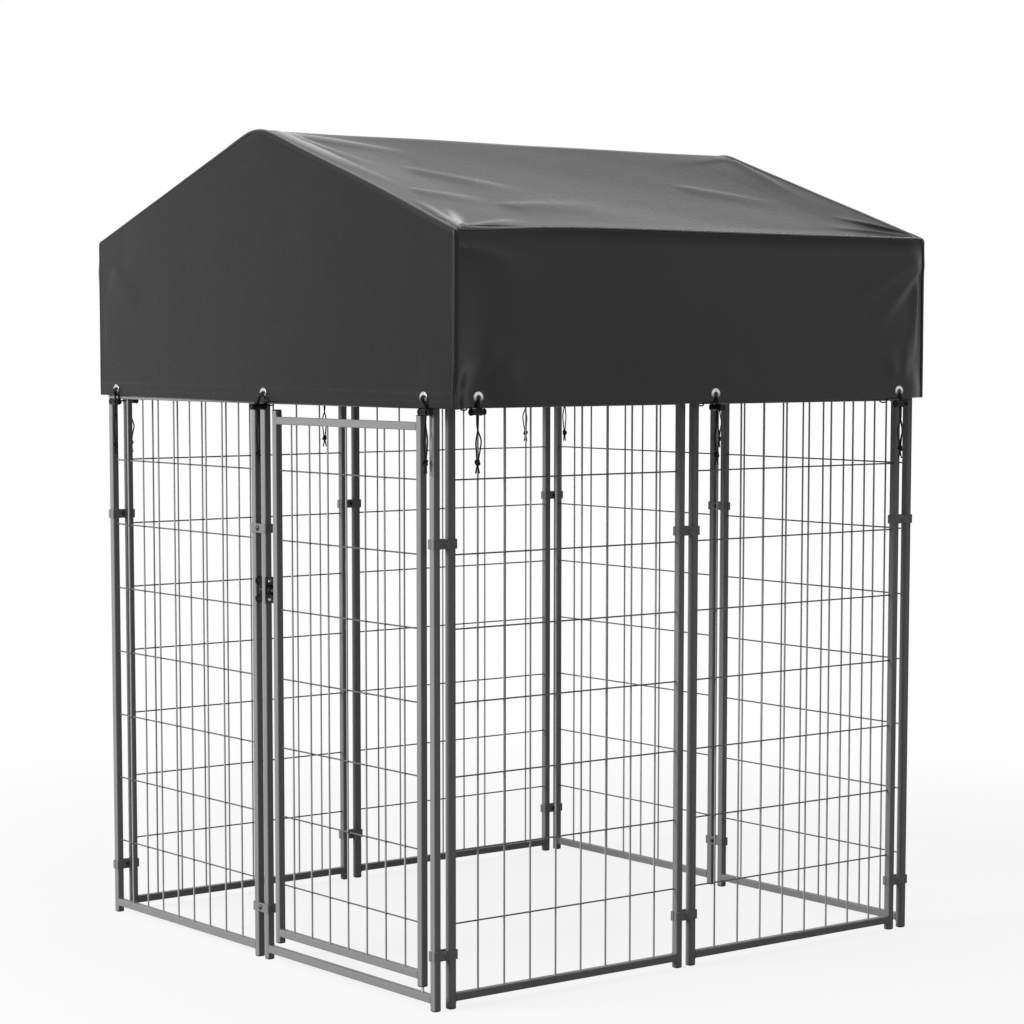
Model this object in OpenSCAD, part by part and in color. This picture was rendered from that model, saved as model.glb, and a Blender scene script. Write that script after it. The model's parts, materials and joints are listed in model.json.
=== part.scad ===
// Outdoor dog kennel run: eight welded-wire panels clamped into a square pen,
// a swing door with a slide bolt, and a gable roof cover laced to the top rails.
// Millimetres. The origin is on the ground at the centre of the pen, the door wall
// faces -Y, the roof ridge runs along Y and +Z is up.

/* [Panels] */
// Outside width of the square tube
tube_size = 15.9; // [12:0.1:20]
// Wall of the square tube
tube_wall = 1.2; // [0.8:0.1:2]
// Outside corner radius of the square tube
tube_round = 2.4; // [1.6:0.1:3.5]
// Outside width of one panel
panel_w = 610; // [500:1:760]
// Height of one panel, feet to top plugs
panel_h = 1212; // [1000:1:1800]
// Clear gap between the posts of two neighbouring panels
post_gap = 21.7; // [18:0.1:30]
// Length of post beyond the outer face of a rail
post_stub = 14.8; // [8:0.1:30]
// Thickness of the plug head that closes a post
plug_head = 2.5; // [1.5:0.1:5]
// Length of the plug shank inside a post
plug_shank = 10; // [6:0.5:14]
// Side clearance of a plug shank in its post
plug_clear = 0.1; // [0.05:0.01:0.3]
// Diameter of the upright wires
wire_up_d = 4; // [3:0.1:5]
// Diameter of the cross wires
wire_cross_d = 3.2; // [2.5:0.1:5]
// Depth that crossing wires melt into each other at the weld
weld_sink = 0.5; // [0.2:0.1:0.8]
// Number of upright wires in a panel
wires_up = 8; // [4:1:12]
// Number of cross wires in a panel
wires_cross = 7; // [4:1:10]

/* [Door] */
// Clear gap between the leaf's stile and the door frame's post
leaf_side_gap = 27.1; // [22:0.1:36]
// Distance from a rail of the door frame to the leaf's rail, centre to centre
leaf_rail_drop = 42; // [40:0.1:60]
// Number of upright wires in the leaf
leaf_wires_up = 7; // [3:1:10]
// Diameter of the hinge pins
pin_d = 6.4; // [5:0.1:8]
// Radial running clearance of a hinge pin in its rail
pin_clear = 0.06; // [0.02:0.01:0.1]
// Clearance under the lower pin's tip
pin_tip_gap = 0.1; // [0.05:0.05:0.5]
// Length of hinge pin held inside the stile
pin_grip = 24; // [14:1:40]

/* [Latch] */
// Height of the slide bolt above the ground
bolt_z = 790; // [500:1:1000]
// Diameter of the slide bolt
bolt_d = 8; // [6:0.1:10]
// Radial running clearance of the bolt
bolt_clear = 0.06; // [0.02:0.01:0.1]
// Travel of the bolt
bolt_travel = 12; // [8:0.5:13]
// Gap between the withdrawn bolt and the leaf
bolt_gap = 1.5; // [0.5:0.1:4]
// Radial clearance of the bolt in the leaf's strike hole
strike_clear = 0.5; // [0.2:0.1:1]
// Height of the latch plate
latch_plate_h = 56; // [40:1:80]
// Thickness of the latch plate
latch_plate_t = 2.5; // [1.5:0.1:4]
// Length of the boss that guides the bolt
latch_boss_l = 7; // [4:0.5:12]
// Outside diameter of the boss
latch_boss_d = 14; // [11:0.5:16]
// Height of the stop tab behind the leaf
stop_tab_h = 24; // [15:1:40]
// Clearance between the stop tab and the leaf
stop_tab_gap = 0.5; // [0.3:0.1:2]
// Reach of the stop tab behind the leaf's stile
stop_tab_lap = 8; // [4:0.5:14]
// Outside diameter of one loop of the bolt's double handle
handle_loop_d = 20; // [16:0.5:24]
// Hole in one loop of the handle
handle_hole_d = 11; // [8:0.5:13]
// Distance between the two loops of the handle
handle_pitch = 38; // [28:1:46]
// Thickness of the handle
handle_t = 3; // [2:0.1:4]
// Diameter of the latch rivets
rivet_d = 4; // [3:0.1:5]

/* [Clamps] */
// Height of a clamp plate
clamp_h = 19; // [14:0.5:30]
// Thickness of a clamp plate
clamp_t = 2.5; // [1.5:0.1:4]
// Gap left between the two halves of a clamp
clamp_gap = 1.7; // [0.6:0.1:4]
// Height of the lower clamps
clamp_low_z = 110; // [60:1:300]
// Height of the upper clamps
clamp_high_z = 920; // [600:1:1000]
// Diameter of the clamp bolts
clamp_bolt_d = 6; // [5:0.5:8]
// Clearance of a clamp bolt in its plate, on the radius
clamp_bolt_clear = 0.2; // [0.1:0.05:0.5]
// Diameter of the domed bolt head
bolt_head_d = 13.5; // [11:0.5:16]
// Height of the domed bolt head
bolt_head_h = 4; // [3:0.1:5]
// Width across flats of the nut
nut_flats = 10; // [8:0.5:13]
// Thickness of the nut
nut_h = 5; // [4:0.5:7]
// Length of bolt that shows past the nut
bolt_tail = 3; // [1:0.5:6]

/* [Roof frame] */
// Outside diameter of the bow tubes
bow_d = 15.9; // [14:0.1:19]
// Wall of the round tubes
bow_wall = 1.2; // [0.8:0.1:2]
// Depth of a bow's spigot inside its corner post
spigot_l = 60; // [30:1:120]
// Side clearance of a spigot in its post
spigot_clear = 0.15; // [0.05:0.05:0.4]
// Upright length at the foot of a bow
bow_foot = 12; // [8:1:40]
// Centre-line radius of the knee above the post
knee_r = 60; // [30:1:120]
// Straight length of a bow's leg
bow_leg = 278; // [200:1:500]
// Outward lean of a bow's leg
bow_lean = 3.6; // [0:0.1:15]
// Centre-line radius of the eave bend
bow_bend = 30; // [25:1:60]
// Loss of the tube's diameter where it is bent
bend_thin = 0.1; // [0.05:0.05:0.4]
// Pitch of the roof
roof_pitch = 18.4; // [10:0.1:30]
// Wall of the ridge tees
tee_wall = 1.8; // [1.2:0.1:3]
// Length of a tee's sleeve
tee_l = 48; // [30:1:80]
// Radial clearance of a tube in a sleeve
sleeve_clear = 0.15; // [0.05:0.05:0.4]
// Outside diameter of the eave rails
eave_rail_d = 12.7; // [11:0.1:15]
// Length of the stub that carries an eave rail
eave_stub_l = 30; // [15:1:60]

/* [Cover] */
// Thickness of the coated cloth
cloth_t = 1.2; // [0.8:0.1:2]
// Clearance between the cloth and the roof frame
cloth_clear = 0.3; // [0.2:0.1:1]
// Outside radius of the cloth over the ridge
ridge_round = 120; // [40:1:200]
// Slack of the cloth beyond the bows' eave bends, along the slope
eave_slack = 15.3; // [0:0.1:40]
// Distance of the hem below the top of the panels
hem_drop = 27; // [18:1:300]
// Space between a gable's top rail and its cloth
gable_space = 6; // [5:0.1:15]
// Outside diameter of an eyelet
eyelet_d = 24; // [16:0.5:30]
// Hole of an eyelet
eyelet_hole = 11.2; // [9:0.1:16]
// Thickness of an eyelet's rim
eyelet_rim = 1.2; // [0.6:0.1:2]
// Wall of an eyelet's barrel
eyelet_wall = 0.7; // [0.4:0.1:1.2]
// Height of the eyelets above the hem
eyelet_rise = 18; // [14:0.5:40]

/* [Ties] */
// Diameter of the elastic cord
cord_d = 3; // [2:0.1:3.2]
// Distance between the two strands of a tie
strand_pitch = 3.8; // [3.5:0.1:4.5]
// Clearance of a cord round the rail it holds
cord_clear = 0.3; // [0.2:0.1:1]
// Distance of the cord lock's axis below the hem
lock_drop = 9; // [8:0.5:20]
// Outside diameter of the cord lock's barrel
lock_d = 13; // [12:0.5:16]
// Outside diameter of the barrel's end rims
lock_rim_d = 15; // [13:0.5:18]
// Length of a barrel's end rim
lock_rim_l = 3; // [2:0.5:5]
// Diameter of the cord lock's plunger
plunger_d = 10; // [9.5:0.1:11]
// Radial running clearance of the plunger
plunger_clear = 0.09; // [0.02:0.01:0.1]
// Travel of the plunger
plunger_travel = 5; // [3:0.5:6]
// Thickness of the plunger's button
button_t = 3; // [2:0.5:5]
// Distance from the cord slot to the blind end of the barrel
lock_blind_l = 17; // [15:0.5:24]
// Distance from the cord slot to the open end of the barrel
lock_open_l = 9; // [9:0.5:14]
// Wall that closes the blind end of the barrel
lock_end_wall = 3; // [2:0.5:5]
// Depth of plunger beyond the cord slot
plunger_heel = 2.8; // [2:0.1:4]
// Length of a lock's coil spring, pressed
spring_l = 2.2; // [1.5:0.1:3]
// Clearance beside the cords in the lock's slot
slot_clear = 0.3; // [0.2:0.05:0.6]
// Distance of the strands' knot below the cord lock
knot_drop = 86; // [50:1:140]
// Diameter of the knot
knot_d = 9; // [7.5:0.5:14]
// Height of the knot
knot_h = 10; // [7:0.5:16]
// Length of the cord ends below the knot
tail_l = 16; // [8:1:30]
// Distance of the middle ties from the middle of a wall
tie_mid = 34; // [-60:1:60]
// Distance of a gable's outer ties from the corner posts, left and right
gable_tie_in = [40.9, 14.9];
// Distance of a side's outer ties from the end posts, left and right
side_tie_in = [30.9, 40.9];

/* [Hidden] */
$fn = 48;
tiny = 0.01;

// Colours as the object shows them
coat = [0.30, 0.30, 0.31];
coat_dark = [0.17, 0.17, 0.18];
cloth_black = [0.20, 0.20, 0.21];
bare_metal = [0.75, 0.75, 0.73];
plastic_black = [0.09, 0.09, 0.09];
cord_black = [0.06, 0.06, 0.06];

// Panel layout
half = tube_size / 2;
bore = tube_size - 2 * tube_wall;
bore_round = tube_round - tube_wall;
post_pitch = tube_size + post_gap;
post_reach = panel_w / 2 - half;
panel_step = (panel_w + post_gap) / 2;
side_x = post_pitch / 2 + 2 * post_reach;
gable_y = side_x + post_pitch;
rail_l = panel_w - 2 * tube_size;
rail_low_z = post_stub + half;
rail_high_z = panel_h - rail_low_z;
post_top_z = panel_h - plug_head;
grille_h = rail_high_z - rail_low_z - tube_size;
wire_pitch_up = 2 * post_reach / (wires_up + 1);
wire_pitch_cross = (rail_high_z - rail_low_z) / (wires_cross + 1);

// Walls seen from outside: turn about Z and distance of the wall from the centre
FRONT = [0, gable_y];
RIGHT = [90, side_x];
REAR = [180, gable_y];
LEFT = [270, side_x];
WALLS = [["front", FRONT], ["right", RIGHT], ["rear", REAR], ["left", LEFT]];

// Fixed panels: name, wall, and -1 or 1 for the left or right half seen from outside
PANELS = [
    ["front_left", FRONT, -1], ["right_front", RIGHT, -1], ["right_rear", RIGHT, 1],
    ["rear_right", REAR, -1], ["rear_left", REAR, 1], ["left_rear", LEFT, -1], ["left_front", LEFT, 1]
];

// Door layout, measured along the front wall
door_mid = panel_step;
leaf_reach = post_reach - tube_size - leaf_side_gap;
hinge_x = door_mid + leaf_reach;
lock_stile_x = door_mid - leaf_reach;
leaf_low_z = rail_low_z + leaf_rail_drop;
leaf_high_z = rail_high_z - leaf_rail_drop;
leaf_foot_z = leaf_low_z - half - post_stub;
leaf_head_z = leaf_high_z + half + post_stub;
leaf_tube_low = leaf_foot_z + plug_head;
leaf_tube_high = leaf_head_z - plug_head;
leaf_rail_l = 2 * leaf_reach - tube_size;
leaf_grille_h = leaf_high_z - leaf_low_z - tube_size;
pin_low_z = rail_low_z - half + tube_wall + pin_tip_gap;
pin_high_z = panel_h - pin_low_z;

// Latch layout
latch_post_x = post_pitch / 2;
bolt_tip_x = lock_stile_x - half - bolt_gap;
handle_x = latch_post_x - half - handle_t - bolt_travel - 2;
handle_y = -gable_y - half + 4;
rivet_rise = latch_plate_h / 2 - 9;
latch_face_x = latch_post_x + half;

// Clamps: place of each junction and turn of its wall
JUNCTIONS = [
    [0, -gable_y, 0], [0, gable_y, 180], [side_x, 0, 90], [-side_x, 0, 270],
    [side_x, -gable_y + post_pitch / 2, 90], [side_x, gable_y - post_pitch / 2, 90],
    [-side_x, -gable_y + post_pitch / 2, 270], [-side_x, gable_y - post_pitch / 2, 270]
];
clamp_l = post_pitch + tube_size + 2 * clamp_t;
clamp_face = half + clamp_t;

// Posts of one wall, along the wall
WALL_POSTS = [-side_x, -post_pitch / 2, post_pitch / 2, side_x];
SIDE_POSTS = [-gable_y + post_pitch, -post_pitch / 2, post_pitch / 2, gable_y - post_pitch];

// Roof bow in its gable plane: foot, eave bend and apex, as [x, z]
bow_r = bow_d / 2;
bow_knee = [side_x + knee_r * (1 - cos(bow_lean)), post_top_z + bow_foot + knee_r * sin(bow_lean)];
leg_dir = [sin(bow_lean), cos(bow_lean)];
slope_out = [sin(roof_pitch), cos(roof_pitch)];
bend_start = bow_knee + bow_leg * leg_dir;
bend_mid = bend_start + bow_bend * [-cos(bow_lean), sin(bow_lean)];
bend_end = bend_mid + bow_bend * slope_out;
apex_z = bend_end[1] + bend_end[0] * tan(roof_pitch);
rafter_l = bend_end[0] / cos(roof_pitch);
bend_turn = 90 + bow_lean - roof_pitch;
eave_turn = 45;
eave_point = bend_mid + bow_bend * [cos(eave_turn), sin(eave_turn)];
eave_bore = eave_rail_d - 2 * bow_wall;
tee_r = bow_r + sleeve_clear + tee_wall;

// Cover outline: the cloth lies on the tees and follows the bows
ridge_in = ridge_round - cloth_t;
cloth_seat = ridge_in * (1 - cos(roof_pitch)) + (tee_r + cloth_clear) * cos(roof_pitch);
eave_in = bow_bend + cloth_seat;
eave_out = eave_in + cloth_t;
ridge_mid_z = apex_z + tee_r + cloth_clear - ridge_in;
eave_mid = bend_mid + eave_slack * [cos(roof_pitch), -sin(roof_pitch)];
skirt_in = eave_mid[0] + eave_in;
skirt_out = skirt_in + cloth_t;
gable_in = gable_y + half + gable_space;
gable_out = gable_in + cloth_t;
hem_z = panel_h - hem_drop;
eyelet_z = hem_z + eyelet_rise;
eyelet_barrel_d = eyelet_hole + 2 * eyelet_wall;

// Ties, seen from outside each wall: place along the wall, shift of the lock along the wall,
// turn of the lock, and how far each strand bows out
GABLE_TIES = [
    ["left", gable_tie_in[0] - side_x, 0, 0, [5, 9]],
    ["mid", tie_mid, 0, 90, [4, 7]],
    ["right", side_x - gable_tie_in[1], 10, 0, [6, 4]]
];
SIDE_TIES = [
    ["left", side_tie_in[0] - side_x, -4, 0, [8, 3]],
    ["mid", tie_mid, 0, 90, [6, 5]],
    ["right", side_x - side_tie_in[1], 3, 0, [4, 8]]
];
cord_r = cord_d / 2;
strand = strand_pitch / 2;
wrap = half + cord_r + cord_clear;
hang_gap = eyelet_rim + cord_r + cord_clear;
lock_z = hem_z - lock_drop;
lock_r = lock_d / 2;
lock_bore_r = plunger_d / 2 + plunger_clear;
slot_half = strand + cord_r + slot_clear;
slot_w = cord_d + 2 * slot_clear;
button_gap = plunger_travel + 0.3;
plunger_low = -slot_half - plunger_heel;
knot_z = lock_z - lock_r - knot_drop;
lock_half = lock_open_l + button_gap + button_t;

function wall_ties(name) = name == "front" || name == "rear" ? GABLE_TIES : SIDE_TIES;
function skirt_face(name) = name == "front" || name == "rear" ? gable_out - gable_y : skirt_out - side_x;
TIES = [for (w = WALLS) for (t = wall_ties(w[0])) [str(w[0], "_", t[0]), w[1], skirt_face(w[0]), t]];

// Places its children in a wall's own frame: along the wall, outward -Y, up
module in_wall(wall) {
    rotate([0, 0, wall[0]]) translate([0, -wall[1], 0]) children();
}

// Places its children at the centre of one panel of a wall
module in_panel(wall, side) {
    in_wall(wall) translate([side * panel_step, 0, 0]) children();
}

// Square with rounded corners
module rounded_square(size, r) {
    square([size, size - 2 * r], center = true);
    square([size - 2 * r, size], center = true);
    for (x = [-1, 1], y = [-1, 1]) translate([x, y] * (size / 2 - r)) circle(r);
}

// Hollow square tube along +Z
module square_tube(l) {
    linear_extrude(l) difference() {
        rounded_square(tube_size, tube_round);
        rounded_square(bore, bore_round);
    }
}

// Hollow square tube along X, centred
module cross_tube(l) {
    translate([-l / 2, 0, 0]) rotate([0, 90, 0]) square_tube(l);
}

// Hollow round tube along +Z
module round_tube(l, d, wall) {
    difference() {
        cylinder(h = l, d = d);
        translate([0, 0, -1]) cylinder(h = l + 2, d = d - 2 * wall);
    }
}

// Two posts of a panel or the leaf, between two heights
module uprights(reach, low, high) {
    for (s = [-1, 1]) translate([s * reach, 0, low]) square_tube(high - low);
}

// Welded grille: upright wires outside, cross wires inside, melted together where they meet
module grille(reach, count, h) {
    up_y = -(wire_cross_d - weld_sink) / 2;
    cross_y = (wire_up_d - weld_sink) / 2;
    for (i = [0 : count - 1])
        translate([(i - (count - 1) / 2) * wire_pitch_up, up_y, panel_h / 2])
            cylinder(h = h, d = wire_up_d, center = true);
    for (k = [1 : wires_cross])
        translate([0, cross_y, rail_low_z + k * wire_pitch_cross]) rotate([0, 90, 0])
            cylinder(h = 2 * reach - tube_size, d = wire_cross_d, center = true);
}

// Frame of a fixed panel: two posts and two rails
module panel_frame(panel) {
    color(coat) in_panel(panel[1], panel[2]) {
        uprights(post_reach, plug_head, post_top_z);
        for (z = [rail_low_z, rail_high_z]) translate([0, 0, z]) cross_tube(rail_l);
    }
}

// Wire grille of a fixed panel
module panel_mesh(panel) {
    color(coat) in_panel(panel[1], panel[2])
        grille(post_reach, wires_up, grille_h);
}

// Frame round the door: the hinge side is bored for the pins and the latch side for the bolt
module door_frame() {
    color(coat) in_wall(FRONT) {
        translate([door_mid + post_reach, 0, plug_head]) square_tube(post_top_z - plug_head);
        difference() {
            translate([latch_post_x, 0, plug_head]) square_tube(post_top_z - plug_head);
            translate([latch_post_x - tube_size, 0, bolt_z]) rotate([0, 90, 0])
                cylinder(h = 2 * tube_size, r = bolt_d / 2 + bolt_clear);
            for (s = [-1, 1]) translate([latch_post_x, 0, bolt_z + s * rivet_rise]) rotate([0, 90, 0])
                cylinder(h = tube_size, d = rivet_d);
        }
        for (up = [0, 1]) difference() {
            translate([door_mid, 0, up == 0 ? rail_low_z : rail_high_z]) cross_tube(rail_l);
            translate([hinge_x, 0, up == 0 ? rail_low_z : rail_high_z - tube_size])
                cylinder(h = tube_size, r = pin_d / 2 + pin_clear);
        }
    }
}

// Frame of the door leaf, with the strike hole in its free stile
module leaf_frame() {
    color(coat) in_wall(FRONT) {
        difference() {
            translate([door_mid, 0, 0])
                uprights(leaf_reach, leaf_tube_low, leaf_tube_high);
            translate([lock_stile_x - tube_size, 0, bolt_z]) rotate([0, 90, 0])
                cylinder(h = tube_size, r = bolt_d / 2 + strike_clear);
        }
        for (z = [leaf_low_z, leaf_high_z]) translate([door_mid, 0, z]) cross_tube(leaf_rail_l);
    }
}

// Wire grille of the door leaf, with its cross wires level with the panels'
module leaf_mesh() {
    color(coat) in_wall(FRONT) translate([door_mid, 0, 0])
        grille(leaf_reach, leaf_wires_up, leaf_grille_h);
}

// Upper and lower hinge pins, fixed in the leaf's stile
module hinge_pins() {
    pin_l = leaf_foot_z + pin_grip - pin_low_z;
    color(bare_metal) in_wall(FRONT) {
        translate([hinge_x, 0, pin_low_z]) cylinder(h = pin_l, d = pin_d);
        translate([hinge_x, 0, pin_high_z - pin_l]) cylinder(h = pin_l, d = pin_d);
    }
}

// Plug for a square tube's lower end: a chamfered head below its shank, head's top face at z = 0
module tube_plug() {
    chamfer = plug_head / 2;
    translate([0, 0, -chamfer]) linear_extrude(chamfer) rounded_square(tube_size, tube_round);
    translate([0, 0, -plug_head]) linear_extrude(chamfer)
        rounded_square(tube_size - 2 * chamfer, tube_round);
    linear_extrude(plug_shank) rounded_square(bore - 2 * plug_clear, bore_round);
}

// Plugs in the four ends of the leaf's stiles, bored for the pins on the hinge side
module leaf_plugs() {
    color(plastic_black) in_wall(FRONT) for (s = [-1, 1], up = [0, 1])
        translate([door_mid + s * leaf_reach, 0, up == 0 ? leaf_tube_low : leaf_tube_high])
            mirror([0, 0, up]) difference() {
                tube_plug();
                if (s == 1) translate([0, 0, -tube_size]) cylinder(h = 2 * tube_size, d = pin_d);
            }
}

// Plugs in the feet of all the posts
module foot_plugs() {
    color(plastic_black) for (w = WALLS)
        in_wall(w[1]) for (u = w[1][1] == gable_y ? WALL_POSTS : SIDE_POSTS)
            translate([u, 0, plug_head]) tube_plug();
}

// Plugs in the tops of the posts that carry no roof bow
module top_plugs() {
    color(plastic_black) for (w = WALLS)
        in_wall(w[1]) for (u = w[1][1] == gable_y ? [WALL_POSTS[1], WALL_POSTS[2]] : SIDE_POSTS)
            translate([u, 0, post_top_z]) mirror([0, 0, 1]) tube_plug();
}

// Latch plate on the door frame's post: guide boss for the bolt and a stop tab behind the leaf
module latch_plate() {
    tab_y = half + stop_tab_gap;
    color(coat_dark) in_wall(FRONT) translate([latch_face_x, 0, bolt_z]) difference() {
        union() {
            translate([0, -half - latch_plate_t, -latch_plate_h / 2])
                cube([latch_plate_t, tube_size + 2 * latch_plate_t, latch_plate_h]);
            rotate([0, 90, 0]) cylinder(h = latch_plate_t + latch_boss_l, d = latch_boss_d);
            translate([0, tab_y, -stop_tab_h / 2])
                cube([leaf_side_gap + stop_tab_lap, latch_plate_t, stop_tab_h]);
        }
        translate([-1, 0, 0]) rotate([0, 90, 0])
            cylinder(h = latch_plate_t + latch_boss_l + 2, r = bolt_d / 2 + bolt_clear);
        for (s = [-1, 1]) translate([-1, 0, s * rivet_rise]) rotate([0, 90, 0])
            cylinder(h = latch_plate_t + 2, d = rivet_d);
    }
}

// Slide bolt, drawn back: a rod through the post and a double-loop handle between the posts
module latch_bolt() {
    color(coat_dark) in_wall(FRONT) translate([0, 0, bolt_z]) {
        translate([handle_x, 0, 0]) rotate([0, 90, 0])
            cylinder(h = bolt_tip_x - handle_x, d = bolt_d);
        translate([handle_x, handle_y + gable_y, 0]) rotate([0, 90, 0]) linear_extrude(handle_t)
            difference() {
                union() {
                    for (s = [-1, 1]) translate([s * handle_pitch / 2, 0]) circle(d = handle_loop_d);
                    translate([-handle_pitch / 2, 0]) square([handle_pitch, handle_loop_d / 2]);
                }
                for (s = [-1, 1]) translate([s * handle_pitch / 2, 0]) circle(d = handle_hole_d);
            }
    }
}

// Rivets that hold the latch plate to the post
module latch_rivets() {
    color(bare_metal) in_wall(FRONT) for (s = [-1, 1])
        translate([latch_face_x - tube_wall, 0, bolt_z + s * rivet_rise]) rotate([0, 90, 0]) {
            cylinder(h = tube_wall + latch_plate_t, d = rivet_d);
            translate([0, 0, tube_wall + latch_plate_t]) dome(1.8 * rivet_d, rivet_d / 2);
        }
}

// Domed head that stands on z = 0
module dome(d, h) {
    r = (d * d / 4 + h * h) / (2 * h);
    rotate_extrude() intersection() {
        translate([0, h - r]) circle(r);
        square([d, h]);
    }
}

// Places its children at every clamp, in its wall's frame
module at_clamps() {
    for (j = JUNCTIONS, z = [clamp_low_z, clamp_high_z])
        translate([j[0], j[1], z]) rotate([0, 0, j[2]]) children();
}

// Half of a clamp: a web across both posts with a flange round each end, on the -Y side
module clamp_half() {
    difference() {
        translate([0, 0, -clamp_h / 2]) linear_extrude(clamp_h) {
            translate([-clamp_l / 2 + clamp_t, -clamp_face]) square([clamp_l - 2 * clamp_t, clamp_t]);
            for (s = [-1, 1]) {
                translate([s * (clamp_l / 2 - clamp_t), -half]) intersection() {
                    circle(clamp_t);
                    translate([s > 0 ? 0 : -clamp_t, -clamp_t]) square(clamp_t);
                }
                translate([s * (clamp_l - clamp_t) / 2 - clamp_t / 2, -half])
                    square([clamp_t, half - clamp_gap / 2]);
            }
        }
        translate([0, -clamp_face - 1, 0]) rotate([-90, 0, 0])
            cylinder(h = clamp_t + 2, r = clamp_bolt_d / 2 + clamp_bolt_clear);
    }
}

// Outer halves of all the clamps
module clamp_outer_plates() {
    color(coat_dark) at_clamps() clamp_half();
}

// Inner halves of all the clamps
module clamp_inner_plates() {
    color(coat_dark) at_clamps() mirror([0, 1, 0]) clamp_half();
}

// Dome-headed bolts of all the clamps
module clamp_bolts() {
    color(bare_metal) at_clamps() {
        translate([0, -clamp_face, 0]) rotate([90, 0, 0]) dome(bolt_head_d, bolt_head_h);
        translate([0, -clamp_face, 0]) rotate([-90, 0, 0])
            cylinder(h = 2 * clamp_face + nut_h + bolt_tail, d = clamp_bolt_d);
    }
}

// Nuts of all the clamps
module clamp_nuts() {
    color(bare_metal) at_clamps() translate([0, clamp_face, 0]) rotate([-90, 0, 0]) difference() {
        cylinder(h = nut_h, d = nut_flats / cos(30), $fn = 6);
        translate([0, 0, -1]) cylinder(h = nut_h + 2, d = clamp_bolt_d);
    }
}

// Stretch of round bar from a point along a direction, both in the gable plane
module bar_run(from, dir, l, d) {
    translate([from[0], 0, from[1]]) rotate([0, atan2(dir[0], dir[1]), 0]) cylinder(h = l, d = d);
}

// Arc of round bar about a centre in the gable plane, from one angle through a turn
module bar_arc(centre, r, from, turn, d) {
    translate([centre[0], 0, centre[1]]) rotate([90, 0, 0]) rotate([0, 0, from])
        rotate_extrude(angle = turn) translate([r, 0]) circle(d = d);
}

// Bar along a half bow, with its own diameter in the bends: foot, knee, leaning leg, eave bend and rafter
module bow_bar(d, bend_d, foot_z) {
    translate([side_x, 0, post_top_z + foot_z]) cylinder(h = bow_foot - foot_z, d = d);
    bar_arc([side_x + knee_r, post_top_z + bow_foot], knee_r, 180 - bow_lean, bow_lean, bend_d);
    bar_run(bow_knee, leg_dir, bow_leg, d);
    bar_arc(bend_mid, bow_bend, -bow_lean, bend_turn, bend_d);
    bar_run(bend_end, [-cos(roof_pitch), sin(roof_pitch)], rafter_l - bow_r, d);
}

// Half bow: a bent tube on a swaged spigot, with the stub for the eave rail
module half_bow() {
    spigot_d = bore - 2 * spigot_clear;
    difference() {
        union() {
            bow_bar(bow_d, bow_d - bend_thin, 0);
            translate([side_x, 0, post_top_z - spigot_l]) cylinder(h = spigot_l + bow_wall, d = spigot_d);
        }
        bow_bar(bow_d - 2 * bow_wall, bow_d - 2 * bow_wall + bend_thin, bow_wall);
        translate([side_x, 0, post_top_z - spigot_l - 1])
            cylinder(h = spigot_l + 1 + 2 * bow_wall, d = spigot_d - 2 * bow_wall);
    }
    translate([eave_point[0], bow_r - 2 * bow_wall, eave_point[1]]) rotate([-90, 0, 0])
        cylinder(h = eave_stub_l + 2 * bow_wall, d = eave_bore - 2 * sleeve_clear);
}

// Places a half bow at one corner of the pen
module bow_at(x_side, y_side) {
    color(coat) mirror([x_side < 0 ? 1 : 0, 0, 0]) mirror([0, y_side > 0 ? 1 : 0, 0])
        translate([0, -gable_y, 0]) half_bow();
}

// Ridge tee: two sleeves for the rafters and one for the ridge pole
module ridge_tee() {
    bore_r = bow_r + sleeve_clear;
    color(coat_dark) translate([0, -gable_y, apex_z]) difference() {
        union() {
            for (s = [-1, 1]) rotate([0, s * (90 + roof_pitch), 0]) cylinder(h = tee_l, r = tee_r);
            rotate([-90, 0, 0]) cylinder(h = tee_l, r = tee_r);
            sphere(tee_r);
        }
        for (s = [-1, 1]) rotate([0, s * (90 + roof_pitch), 0]) cylinder(h = tee_l + 1, r = bore_r);
        translate([0, bore_r, 0]) rotate([-90, 0, 0]) cylinder(h = tee_l, r = bore_r);
    }
}

// Ridge pole between the two tees
module ridge_pole() {
    pole_l = 2 * (gable_y - bow_r - tee_wall);
    color(coat) translate([0, -pole_l / 2, apex_z]) rotate([-90, 0, 0]) round_tube(pole_l, bow_d, bow_wall);
}

// Eave rail over the stubs of two bows, on the +X or -X side
module eave_rail(x_side) {
    eave_l = 2 * (gable_y - bow_r - sleeve_clear);
    color(coat) translate([x_side * eave_point[0], -eave_l / 2, eave_point[1]])
        rotate([-90, 0, 0]) round_tube(eave_l, eave_rail_d, bow_wall);
}

// Points of an arc from one angle to another
function arc(centre, r, from, to, n) =
    [for (i = [0 : n]) let (w = from + (to - from) * i / n) centre + r * [cos(w), sin(w)]];
function reversed(list) = [for (i = [len(list) - 1 : -1 : 0]) list[i]];

// Line of the cloth on the +X side, from the top of the skirt round the eave and up to the ridge,
// grown by the given step from the cloth's inner face
function slope_line(step) = concat(
    arc(eave_mid, eave_in + step, 0, 90 - roof_pitch, 12),
    arc([0, ridge_mid_z], ridge_in + step, 90 - roof_pitch, 90, 4)
);

// Roof slope of the cover, from the ridge round the eave, on the +X or -X side
module cover_slope(x_side) {
    color(cloth_black) mirror([x_side < 0 ? 1 : 0, 0, 0])
        translate([0, gable_in, 0]) rotate([90, 0, 0]) linear_extrude(2 * gable_in)
            polygon(concat(slope_line(cloth_t), reversed(slope_line(0))));
}

// Holes for a wall's eyelets, through the cloth at the given distance from the centre
module eyelet_holes(wall, name, face) {
    in_wall(wall) for (t = wall_ties(name))
        translate([t[1], 1 - (face - wall[1]), eyelet_z]) rotate([90, 0, 0])
            cylinder(h = 4 * cloth_t + 2, d = eyelet_barrel_d, center = true);
}

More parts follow.
